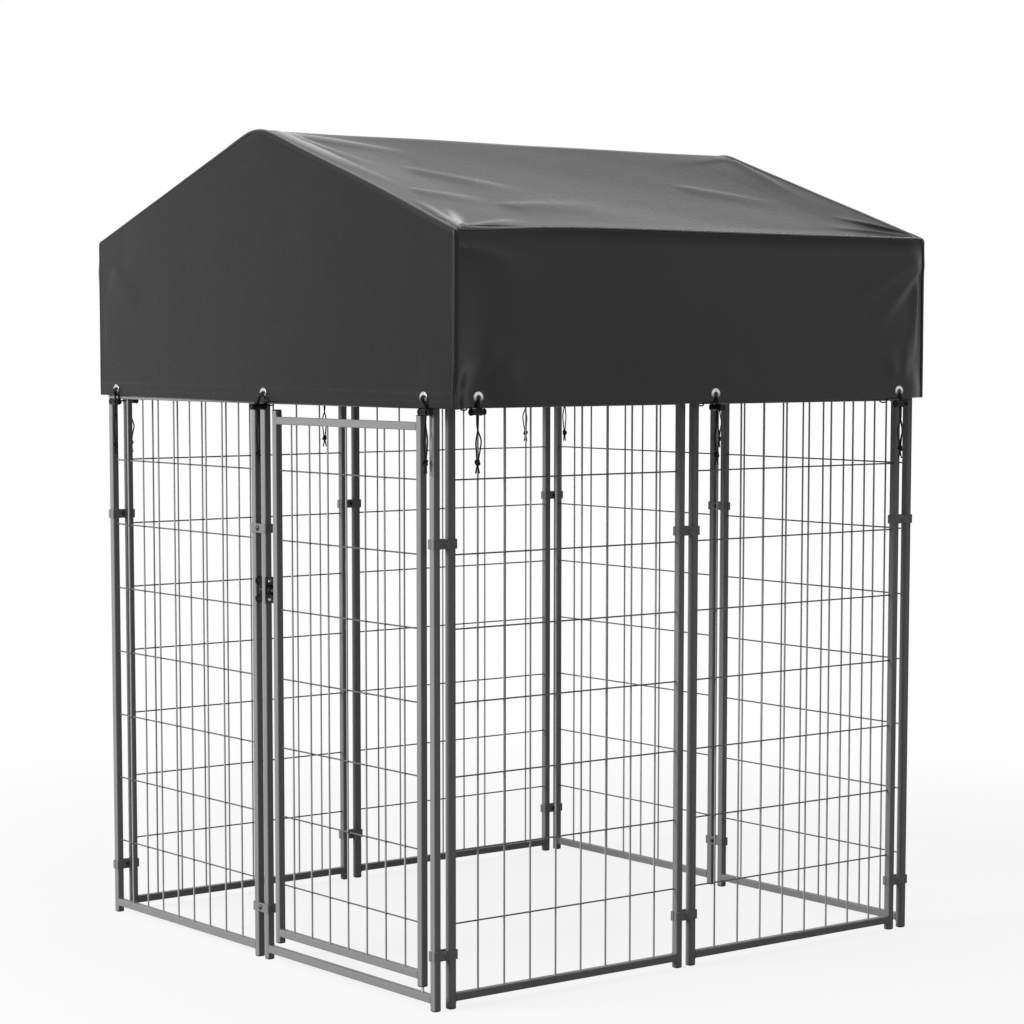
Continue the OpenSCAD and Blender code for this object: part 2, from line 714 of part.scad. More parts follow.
// Side skirt of the cover, from the eave down to the hem
module cover_skirt(x_side) {
    color(cloth_black) difference() {
        mirror([x_side < 0 ? 1 : 0, 0, 0]) translate([skirt_in, -gable_in, hem_z])
            cube([cloth_t, 2 * gable_in, eave_mid[1] - hem_z]);
        eyelet_holes(x_side > 0 ? RIGHT : LEFT, "right", skirt_out);
    }
}

// Gable end of the cover
module cover_gable(wall) {
    right = concat([[skirt_out, hem_z]], slope_line(cloth_t));
    left = [for (i = [len(right) - 2 : -1 : 0]) [-right[i][0], right[i][1]]];
    color(cloth_black) difference() {
        in_wall(wall) translate([0, wall[1] - gable_in, 0]) rotate([90, 0, 0])
            linear_extrude(cloth_t) polygon(concat(right, left));
        eyelet_holes(wall, "front", gable_out);
    }
}

// Eyelet on the +Z side of a cloth whose outer face is at z = 0
module eyelet() {
    rim_r = eyelet_rim / 2;
    rotate_extrude() {
        translate([eyelet_hole / 2, -cloth_t - eyelet_rim]) square([eyelet_wall, cloth_t + 2 * eyelet_rim]);
        for (z = [0, -cloth_t - eyelet_rim]) {
            translate([eyelet_hole / 2, z]) square([(eyelet_d - eyelet_hole) / 2 - rim_r, eyelet_rim]);
            translate([eyelet_d / 2 - rim_r, z + rim_r]) circle(rim_r);
        }
    }
}

// Eyelets of the whole cover
module eyelets() {
    color(bare_metal) for (t = TIES)
        in_wall(t[1]) translate([t[3][1], -t[2], eyelet_z]) rotate([90, 0, 0]) eyelet();
}

// Distance of a tie's cord lock outside its wall
function lock_out(face, turn) =
    turn == 0 ? face + hang_gap
    : max(face + hang_gap + strand, wrap + cord_r + cord_clear + lock_blind_l);

// Route of a tie's cord from knot to knot, as [along the wall, outward, height]
function tie_route(face, tie) =
    let (a = tie[1], b = a + tie[2], out = face + hang_gap, far = lock_out(face, tie[3]), bow = tie[4],
        da = tie[3] == 0 ? strand : 0, dn = tie[3] == 0 ? 0 : strand,
        rail_top = rail_high_z + wrap, rail_under = rail_high_z - wrap)
    [
        [b - strand, far, knot_z], [b - strand - bow[0] / 2, far, knot_z + knot_drop / 4],
        [b - strand - bow[0], far, knot_z + knot_drop * 0.6],
        [b - da, far - dn, lock_z - lock_r], [b - da, far - dn, lock_z + lock_r],
        [a - strand, out, eyelet_z - 3], [a - strand, face, eyelet_z],
        [a - strand, -wrap, rail_top], [a + strand, -wrap, rail_under], [a + strand, wrap, rail_under],
        [a + strand, wrap, eyelet_z - 4], [a + strand, face, eyelet_z - 1], [a + strand, out, eyelet_z - 5],
        [b + da, far + dn, lock_z + lock_r], [b + da, far + dn, lock_z - lock_r],
        [b + strand + bow[1], far, knot_z + knot_drop * 0.55],
        [b + strand + bow[1] / 3, far, knot_z + knot_drop / 4], [b + strand, far, knot_z]
    ];

function unit(v) = v / norm(v);
cord_sides = 8;

// Ring of a swept tube at point i, in the plane that halves the corner there
function ring(pts, i, normal) =
    let (last = len(pts) - 1,
        dir_in = unit(pts[max(i, 1)] - pts[max(i, 1) - 1]),
        dir_out = unit(pts[min(i, last - 1) + 1] - pts[min(i, last - 1)]),
        tangent = unit(dir_in + dir_out),
        stretch = 1 / max(0.6, tangent * dir_in),
        side = unit(cross(tangent, normal)),
        up = cross(side, tangent))
    [for (k = [0 : cord_sides - 1]) let (w = 360 * (k + 0.5) / cord_sides)
        pts[i] + cord_r * (cos(w) * stretch * side + sin(w) * up)];

// Tube of a cord along a route, as one closed solid
module cord_tube(pts, normal) {
    n = len(pts);
    rings = [for (i = [0 : n - 1]) each ring(pts, i, normal)];
    walls = [for (i = [0 : n - 2], k = [0 : cord_sides - 1])
        let (a = i * cord_sides + k, b = i * cord_sides + (k + 1) % cord_sides)
        each [[a, a + cord_sides, b + cord_sides], [a, b + cord_sides, b]]];
    first = [for (k = [0 : cord_sides - 1]) k];
    last = [for (k = [cord_sides - 1 : -1 : 0]) (n - 1) * cord_sides + k];
    polyhedron(rings, concat(walls, [first, last]));
}

// Elastic cords of all the ties, each from one end at its knot round the rail to the other
module tie_cords() {
    color(cord_black) for (t = TIES) in_wall(t[1]) {
        route = [for (p = tie_route(t[2], t[3])) [p[0], -p[1], p[2]]];
        cord_tube(route, [1, 0, 0]);
    }
}

// Knots of all the ties, each with the two ends of its cord below it
module tie_knots() {
    neck_r = (knot_d / 2 + strand + cord_r) / 2;
    waist = [[0, 0], [neck_r, 0], [knot_d / 2, -knot_h / 3], [knot_d / 2, -knot_h * 2 / 3]];
    color(cord_black) for (t = TIES) in_wall(t[1])
        translate([t[3][1] + t[3][2], -lock_out(t[2], t[3][3]), knot_z]) {
            rotate_extrude() polygon(concat(waist, [[neck_r, -knot_h], [0, -knot_h]]));
            for (s = [-1, 1]) translate([s * strand, 0, -knot_h - tail_l]) cylinder(h = tail_l, r = cord_r);
        }
}

// Places its children at a tie's cord lock, with the lock's axis along +Z towards the button
module at_lock(t) {
    in_wall(t[1]) translate([t[3][1] + t[3][2], -lock_out(t[2], t[3][3]), lock_z])
        rotate([0, 0, -t[3][3]]) rotate([0, 90, 0]) children();
}

// Slot for the two strands, from one place to another along a lock's axis
module strand_slot(low, high) {
    translate([-lock_rim_d, -slot_w / 2, low]) cube([2 * lock_rim_d, slot_w, high - low]);
}

// Barrels of all the cord locks
module lock_barrels() {
    color(plastic_black) for (t = TIES) at_lock(t) difference() {
        union() {
            translate([0, 0, -lock_blind_l]) cylinder(h = lock_blind_l + lock_open_l, d = lock_d);
            for (z = [-lock_blind_l, lock_open_l - lock_rim_l])
                translate([0, 0, z]) cylinder(h = lock_rim_l, d = lock_rim_d);
        }
        translate([0, 0, lock_end_wall - lock_blind_l])
            cylinder(h = lock_blind_l + lock_open_l, r = lock_bore_r);
        strand_slot(-slot_half, slot_half);
    }
}

// Coil springs in the blind ends of the barrels, as their pressed sleeve
module lock_springs() {
    color(bare_metal) for (t = TIES) at_lock(t)
        translate([0, 0, lock_end_wall - lock_blind_l]) round_tube(spring_l, plunger_d - 1, 0.8);
}

// Plunger of one cord lock, at rest, with its button standing out of the barrel
module plunger(t) {
    color(plastic_black) at_lock(t) {
        difference() {
            translate([0, 0, plunger_low])
                cylinder(h = lock_open_l + button_gap - plunger_low, d = plunger_d);
            strand_slot(-slot_half, slot_half + plunger_travel);
        }
        translate([0, 0, lock_open_l + button_gap]) cylinder(h = button_t, d = lock_d);
    }
}

for (p = PANELS) {
    panel_frame(p);
    panel_mesh(p);
}
door_frame();
leaf_frame();
leaf_mesh();
hinge_pins();
leaf_plugs();
foot_plugs();
top_plugs();
latch_plate();
latch_bolt();
latch_rivets();
clamp_outer_plates();
clamp_inner_plates();
clamp_bolts();
clamp_nuts();
bow_at(1, -1);  // bow_front_right
bow_at(-1, -1);  // bow_front_left
bow_at(1, 1);  // bow_rear_right
bow_at(-1, 1);  // bow_rear_left
ridge_tee();  // ridge_tee_front
mirror([0, 1, 0]) ridge_tee();  // ridge_tee_rear
ridge_pole();
eave_rail(1);  // eave_rail_right
eave_rail(-1);  // eave_rail_left
cover_slope(1);  // cover_slope_right
cover_slope(-1);  // cover_slope_left
cover_skirt(1);  // cover_skirt_right
cover_skirt(-1);  // cover_skirt_left
cover_gable(FRONT);  // cover_gable_front
cover_gable(REAR);  // cover_gable_rear
eyelets();
tie_cords();
tie_knots();
lock_barrels();
lock_springs();
for (t = TIES) plunger(t);
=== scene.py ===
"""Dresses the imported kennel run: cloth roof cover, elastic ties, welds, finishes, light and camera.

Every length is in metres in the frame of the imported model: the origin is on the ground at the middle of
the pen, the door wall faces -Y, the ridge runs along Y and +Z is up.
"""

from __future__ import annotations

import json
import logging
import math
from dataclasses import dataclass, field
from enum import Enum
from typing import Iterator, Sequence

import bpy
import numpy as np
from mathutils import Matrix, Vector

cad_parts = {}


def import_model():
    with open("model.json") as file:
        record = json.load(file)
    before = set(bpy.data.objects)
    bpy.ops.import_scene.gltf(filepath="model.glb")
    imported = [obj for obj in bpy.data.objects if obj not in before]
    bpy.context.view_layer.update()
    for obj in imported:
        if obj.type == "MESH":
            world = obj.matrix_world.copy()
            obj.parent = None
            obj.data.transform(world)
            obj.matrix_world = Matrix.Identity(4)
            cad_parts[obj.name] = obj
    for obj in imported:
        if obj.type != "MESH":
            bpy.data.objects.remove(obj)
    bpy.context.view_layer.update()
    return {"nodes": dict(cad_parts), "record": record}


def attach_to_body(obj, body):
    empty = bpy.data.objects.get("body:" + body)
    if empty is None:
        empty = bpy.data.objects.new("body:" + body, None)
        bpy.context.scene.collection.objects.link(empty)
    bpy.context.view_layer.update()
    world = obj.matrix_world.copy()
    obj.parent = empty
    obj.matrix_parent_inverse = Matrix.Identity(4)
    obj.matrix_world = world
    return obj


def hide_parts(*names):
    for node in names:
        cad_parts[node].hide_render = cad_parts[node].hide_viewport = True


LOG = logging.getLogger("kennel")
Array = np.ndarray
Grid = tuple[Array, Array, Array]
ROOT = "kennel"
LEAF = "door_leaf"
CREST = "crest"
WHITE = (1.0, 1.0, 1.0, 1.0)


# Sizes


class Wall(Enum):
    """The four walls seen from outside: turn about Z in degrees and distance from the middle."""

    FRONT = ("front", 0.0, 0.6505)
    RIGHT = ("right", 90.0, 0.6129)
    REAR = ("rear", 180.0, 0.6505)
    LEFT = ("left", 270.0, 0.6129)

    @property
    def label(self) -> str:
        """Name of the wall."""
        return self.value[0]

    @property
    def is_gable(self) -> bool:
        """True for the two walls under the gables."""
        return self in (Wall.FRONT, Wall.REAR)

    @property
    def turn(self) -> float:
        """Turn about Z in radians."""
        return math.radians(self.value[1])

    @property
    def distance(self) -> float:
        """Distance of the wall from the middle."""
        return self.value[2]

    @property
    def run(self) -> Array:
        """Direction along the wall, from left to right seen from outside."""
        return np.array([math.cos(self.turn), math.sin(self.turn), 0.0])

    def to_world(self, points: Array) -> Array:
        """Carries points from the wall's own frame to the model's frame.

        Args:
            points: rows of (along the wall, outward, height).

        Returns:
            Rows of (x, y, z): the outward axis is turned to -Y, moved out and turned about Z.
        """
        along, out = points[..., 0], -points[..., 1] - self.distance
        cos, sin = math.cos(self.turn), math.sin(self.turn)
        return np.stack([cos * along - sin * out, sin * along + cos * out, points[..., 2]], axis=-1)


@dataclass(frozen=True)
class PenSizes:
    """Sizes of the panels, as the solids have them."""

    tube: float = 0.0159
    panel_w: float = 0.610
    panel_h: float = 1.212
    post_gap: float = 0.0217
    rail_low_z: float = 0.02275
    wires_up: int = 8
    wires_cross: int = 7
    wire_up_d: float = 0.004
    wire_cross_d: float = 0.0032
    weld_sink: float = 0.0005
    leaf_reach: float = 0.25405
    leaf_rail_drop: float = 0.042
    leaf_wires_up: int = 7

    @property
    def half(self) -> float:
        """Half the tube's width."""
        return self.tube / 2

    @property
    def post_reach(self) -> float:
        """Distance of a post from the middle of its panel."""
        return self.panel_w / 2 - self.half

    @property
    def panel_step(self) -> float:
        """Distance of a panel's middle from the middle of its wall."""
        return (self.panel_w + self.post_gap) / 2

    @property
    def rail_high_z(self) -> float:
        """Height of the top rails."""
        return self.panel_h - self.rail_low_z

    @property
    def pitch_up(self) -> float:
        """Distance between upright wires."""
        return 2 * self.post_reach / (self.wires_up + 1)

    @property
    def pitch_cross(self) -> float:
        """Distance between cross wires."""
        return (self.rail_high_z - self.rail_low_z) / (self.wires_cross + 1)


@dataclass(frozen=True)
class RoofSizes:
    """Sizes of the roof bows and the cloth that lies on them."""

    side_x: float = 0.6129
    post_top_z: float = 1.2095
    bow_foot: float = 0.012
    knee_r: float = 0.060
    bow_leg: float = 0.278
    lean: float = math.radians(3.6)
    bend: float = 0.030
    pitch: float = math.radians(18.4)
    tee_r: float = 0.0099
    clear: float = 0.0003
    cloth: float = 0.0012
    ridge_round: float = 0.120
    eave_slack: float = 0.0153
    half_length: float = 0.66565
    hem_z: float = 1.185

    @property
    def slope_normal(self) -> Array:
        """Outward direction of the +X slope, as (x, z)."""
        return np.array([math.sin(self.pitch), math.cos(self.pitch)])

    @property
    def bend_mid(self) -> Array:
        """Centre of the eave bend on the +X side, as (x, z)."""
        s, c = math.sin(self.lean), math.cos(self.lean)
        foot_z = self.post_top_z + self.bow_foot
        knee = np.array([self.side_x + self.knee_r * (1 - c), foot_z + self.knee_r * s])
        return knee + self.bow_leg * np.array([s, c]) + self.bend * np.array([-c, s])

    @property
    def seat(self) -> float:
        """Distance of the cloth's inner face from a rafter's centre line."""
        inner = self.ridge_round - self.cloth
        return inner * (1 - math.cos(self.pitch)) + (self.tee_r + self.clear) * math.cos(self.pitch)

    @property
    def half_width(self) -> float:
        """Distance of a skirt's outer face from the middle."""
        slack = self.eave_slack * math.cos(self.pitch)
        return float(self.bend_mid[0]) + slack + self.bend + self.seat + self.cloth

    @property
    def slope_offset(self) -> float:
        """Distance of a slope's outer face from the origin, along its normal."""
        return float(self.slope_normal @ self.bend_mid) + self.bend + self.seat + self.cloth


# Shapes and meshes: a Grid is the points, the quads and the UV of a surface


def ramp(values: Array, start: float, width: float) -> Array:
    """0 up to the start, rising evenly to 1 over the width; a negative width turns it round."""
    return np.clip((values - start) / width, 0.0, 1.0)


def ease(share: Array) -> Array:
    """Smooths an even rise from 0 to 1 at both ends."""
    return share * share * (3.0 - 2.0 * share)


def bell(square: Array, reach: Array | float) -> Array:
    """Bell curve of a squared distance: 1 at no distance and 1/e at the reach."""
    return np.exp(-square / reach ** 2)


def lengths_along(points: Array) -> Array:
    """Length of a polyline up to each of its points."""
    return np.concatenate([[0.0], np.cumsum(np.linalg.norm(np.diff(points, axis=0), axis=1))])


def grid_uv(rows: Array, cols: Array, quads: Array) -> Array:
    """UV of a grid's quads from one coordinate for each row and one for each column."""
    return np.stack(np.meshgrid(rows, cols, indexing="ij"), axis=-1).reshape(-1, 2)[quads]


def cap_quads(sides: int) -> Array:
    """Corner numbers of the quads that fill a ring with an even number of points."""
    i = np.arange(sides // 2 - 1)
    return np.stack([-i % sides, i + 1, i + 2, sides - 1 - i], axis=1)


def grid_quads(rows: int, cols: int, wrap_cols: bool = False) -> Array:
    """Corner numbers of the quads of a grid whose points are stored row by row.

    Args:
        rows: number of rows of points.
        cols: number of points in a row.
        wrap_cols: whether the last column joins the first.

    Returns:
        An integer array with four corners a row.
    """
    index = np.arange(rows * cols).reshape(rows, cols)
    if wrap_cols:
        index = np.concatenate([index, index[:, :1]], axis=1)
    a, b = index[:-1, :-1], index[:-1, 1:]
    c, d = index[1:, 1:], index[1:, :-1]
    return np.stack([a, b, c, d], axis=-1).reshape(-1, 4)


def mesh_piece(name: str, points: Array, quads: Array, uv: Array | None = None,
               crest: Array | None = None) -> bpy.types.Object:
    """Puts points and quads into a new smooth-shaded mesh object at the origin.

    Args:
        name: name of the piece.
        points: rows of (x, y, z).
        quads: rows of four corner numbers.
        uv: one (u, v) in metres for each corner of each quad, or None.
        crest: one value for each point, the weight of the painted highlight, 1 on a fold's crest, or None.

    Returns:
        The new object, linked to the scene.
    """
    mesh = bpy.data.meshes.new(name)
    mesh.vertices.add(len(points))
    mesh.vertices.foreach_set("co", np.ascontiguousarray(points, dtype=np.float32).ravel())
    mesh.loops.add(quads.size)
    mesh.loops.foreach_set("vertex_index", np.ascontiguousarray(quads, dtype=np.int32).ravel())
    mesh.polygons.add(len(quads))
    mesh.polygons.foreach_set("loop_start", np.arange(0, quads.size, 4, dtype=np.int32))
    mesh.polygons.foreach_set("use_smooth", np.ones(len(quads), dtype=bool))
    if uv is not None:
        layer = mesh.uv_layers.new(name="UVMap")
        layer.data.foreach_set("uv", np.ascontiguousarray(uv, dtype=np.float32).ravel())
    if crest is not None:
        values = mesh.attributes.new(CREST, "FLOAT", "POINT")
        values.data.foreach_set("value", np.ascontiguousarray(crest, dtype=np.float32))
    mesh.update(calc_edges=True)
    mesh.validate()
    piece = bpy.data.objects.new(name, mesh)
    bpy.context.scene.collection.objects.link(piece)
    return piece


def dress(piece: bpy.types.Object, material: bpy.types.Material) -> None:
    """Gives a piece one material in all its slots."""
    piece.data.materials.clear()
    piece.data.materials.append(material)


def attach(piece: bpy.types.Object, material: bpy.types.Material, body: str) -> None:
    """Dresses a piece and says which body it rides on.

    Args:
        piece: the piece.
        material: its material.
        body: name of the body.
    """
    dress(piece, material)
    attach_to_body(piece, body)


def smooth_route(points: Array, step: float, passes: int) -> Array:
    """Rounds a polyline: points at even steps along it, each moved to its neighbours' mean several times.

    Args:
        points: rows of (x, y, z), the corners of the route.
        step: distance between the new points.
        passes: how often the mean of three neighbours is taken; the ends stay.

    Returns:
        Rows of (x, y, z) along the rounded route.
    """
    along = lengths_along(points)
    even = np.linspace(0.0, along[-1], max(4, int(round(along[-1] / step)) + 1))
    route = np.stack([np.interp(even, along, points[:, i]) for i in range(3)], axis=1)
    for _ in range(passes):
        route[1:-1] = (route[:-2] + 2 * route[1:-1] + route[2:]) / 4
    return route


def route_frames(route: Array, across: Array) -> tuple[Array, Array]:
    """Two directions across a route at each of its points.

    Args:
        route: rows of (x, y, z).
        across: one direction that the route never runs along, or one for each point.

    Returns:
        Two arrays of unit vectors: the given direction less its part along the route, and the cross product
        of the route's own direction with that.
    """
    tangent = np.gradient(route, axis=0)
    tangent /= np.linalg.norm(tangent, axis=1, keepdims=True)
    lead = np.broadcast_to(np.asarray(across, dtype=float), route.shape)
    side = lead - tangent * np.sum(lead * tangent, axis=1, keepdims=True)
    side /= np.linalg.norm(side, axis=1, keepdims=True)
    return side, np.cross(tangent, side)


def tube_grid(route: Array, radius: Array | float, across: Array, sides: int = 12,
              capped: bool = True) -> Grid:
    """A round tube along a route: each ring is the route's point plus radius times a turning direction.

    Args:
        route: rows of (x, y, z).
        radius: one radius, or one for each point.
        across: one direction that the route never runs along, or one for each point.
        sides: number of points in a ring, an even number.
        capped: whether the two ends are closed.

    Returns:
        Points, quads, and one (u round the tube, v along it) per quad corner, v in metres.
    """
    side, up = route_frames(route, across)
    turn = np.linspace(0.0, 2 * math.pi, sides, endpoint=False)
    spread = np.broadcast_to(np.asarray(radius, dtype=float), (len(route),))[:, None, None]
    ring = np.cos(turn)[None, :, None] * side[:, None, :] + np.sin(turn)[None, :, None] * up[:, None, :]
    points = (route[:, None, :] + spread * ring).reshape(-1, 3)
    quads = grid_quads(len(route), sides, wrap_cols=True)
    if capped:
        cap = cap_quads(sides)
        quads = np.concatenate([quads, cap[:, ::-1], cap + (len(route) - 1) * sides])
    along = lengths_along(route)
    row, col = np.divmod(np.arange(len(route) * sides), sides)
    uv = np.stack([col / sides, along[row]], axis=1)[quads]
    last = quads % sides == sides - 1
    uv[..., 0] = np.where((quads % sides == 0) & last.any(axis=1, keepdims=True), 1.0, uv[..., 0])
    return points, quads, uv


def join_grids(parts: Sequence[Grid]) -> Grid:
    """Joins several (points, quads, uv) sets into one, with the corner numbers shifted.

    Args:
        parts: the surfaces.

    Returns:
        One surface.
    """
    starts = np.cumsum([0] + [len(p[0]) for p in parts[:-1]])
    points = np.concatenate([p[0] for p in parts])
    quads = np.concatenate([p[1] + s for p, s in zip(parts, starts)])
    uv = np.concatenate([p[2] for p in parts])
    return points, quads, uv


# Finishes


class Socket(Enum):
    """Kinds of socket that a shared effect has."""

    VALUE = "NodeSocketFloat"
    COLOUR = "NodeSocketColor"
    VECTOR = "NodeSocketVector"


class Graph:
    """A node tree with short ways to add nodes and links."""

    def __init__(self, tree: bpy.types.NodeTree) -> None:
        """Works on one tree."""
        self.tree = tree

    def add(self, kind: str, inputs: dict[str | int, object] | None = None,
            **settings: object) -> bpy.types.Node:
        """Adds a node.

        Args:
            kind: the node's type name.
            inputs: values or sockets for its inputs, by name or number.
            settings: attributes of the node.

        Returns:
            The new node.
        """
        node = self.tree.nodes.new(kind)
        for key, value in settings.items():
            setattr(node, key, value)
        self.feed(node, inputs or {})
        return node

    def feed(self, node: bpy.types.Node, inputs: dict[str | int, object]) -> None:
        """Links sockets to a node's inputs and sets plain values there, by name or number.

        Args:
            node: the node.
            inputs: sockets or values for its inputs.
        """
        for key, value in inputs.items():
            if isinstance(value, bpy.types.NodeSocket):
                self.tree.links.new(value, node.inputs[key])
            else:
                node.inputs[key].default_value = value

    def maths(self, operation: str, *values: object, clamp: bool = False) -> bpy.types.NodeSocket:
        """Adds a Math node and returns its result."""
        node = self.add("ShaderNodeMath", dict(enumerate(values)), operation=operation, use_clamp=clamp)
        return node.outputs[0]

    def remap(self, value: object, low: float, high: float, to_low: float,
              to_high: float) -> bpy.types.NodeSocket:
        """Adds a clamped Map Range node and returns its result."""
        node = self.add("ShaderNodeMapRange", {0: value, 1: low, 2: high, 3: to_low, 4: to_high})
        return node.outputs[0]

    def mix(self, factor: object, a: object, b: object, blend: str = "MIX") -> bpy.types.NodeSocket:
        """Adds a colour Mix node and returns its result."""
        node = self.add("ShaderNodeMix", {0: factor, 6: a, 7: b}, data_type="RGBA", blend_type=blend)
        return node.outputs[2]

    def noise(self, vector: object, scale: object, detail: float,
              rough: float = 0.5) -> bpy.types.NodeSocket:
        """Adds a Noise texture and returns its value."""
        inputs = {"Vector": vector, "Scale": scale, "Detail": detail, "Roughness": rough}
        return self.add("ShaderNodeTexNoise", inputs).outputs[0]

    def axes(self, vector: object) -> bpy.types.bpy_prop_collection:
        """Adds a Separate XYZ node and returns its three results."""
        return self.add("ShaderNodeSeparateXYZ", {0: vector}).outputs

    def grey(self, value: object) -> bpy.types.NodeSocket:
        """Adds a Combine Color node that makes a grey of one value."""
        return self.add("ShaderNodeCombineColor", {0: value, 1: value, 2: value}).outputs[0]

    def shade(self, colour: object, value: object) -> bpy.types.NodeSocket:
        """Multiplies a colour by a value."""
        return self.mix(1.0, colour, self.grey(value), "MULTIPLY")

    def bump(self, height: object, strength: float, distance: float) -> bpy.types.NodeSocket:
        """Adds a Bump node and returns its normal."""
        inputs = {"Height": height, "Strength": strength, "Distance": distance}
        return self.add("ShaderNodeBump", inputs).outputs[0]

    def seen(self) -> bpy.types.NodeSocket:
        """Adds a mask that is 1 for camera, glossy and transmission rays."""
        rays = self.add("ShaderNodeLightPath").outputs
        mirror = self.maths("MAXIMUM", rays["Is Glossy Ray"], rays["Is Transmission Ray"])
        return self.maths("MAXIMUM", rays["Is Camera Ray"], mirror)


class Effect:
    """A shared shader node group, built once by name."""

    def __init__(self, name: str, inputs: dict[str, tuple[Socket, object]],
                 outputs: dict[str, Socket]) -> None:
        """Makes an empty group with named sockets.

        Args:
            name: name of the effect.
            inputs: kind and first value of each input.
            outputs: kind of each output.
        """
        self.tree = bpy.data.node_groups.new(name, "ShaderNodeTree")
        for key, (kind, value) in inputs.items():
            socket = self.tree.interface.new_socket(key, in_out="INPUT", socket_type=kind.value)
            if value is not None:
                socket.default_value = value
        for key, kind in outputs.items():
            self.tree.interface.new_socket(key, in_out="OUTPUT", socket_type=kind.value)
        self.graph = Graph(self.tree)
        self.source = self.graph.add("NodeGroupInput").outputs
        self.result = self.graph.add("NodeGroupOutput").inputs

    def __getitem__(self, key: str) -> bpy.types.NodeSocket:
        """The socket of one of the effect's inputs, for use inside it."""
        return self.source[key]

    def put(self, key: str, socket: bpy.types.NodeSocket) -> None:
        """Links a socket to one of the effect's outputs."""
        self.tree.links.new(socket, self.result[key])

    def place(self, graph: Graph, inputs: dict[str, object]) -> bpy.types.Node:
        """Places the effect in a material."""
        return graph.add("ShaderNodeGroup", inputs, node_tree=self.tree)


def new_material(name: str) -> tuple[bpy.types.Material, Graph, bpy.types.Node]:
    """Makes a material and returns it with its graph and its shader."""
    material = bpy.data.materials.new(name)
    material.use_nodes = True
    return material, Graph(material.node_tree), material.node_tree.nodes["Principled BSDF"]


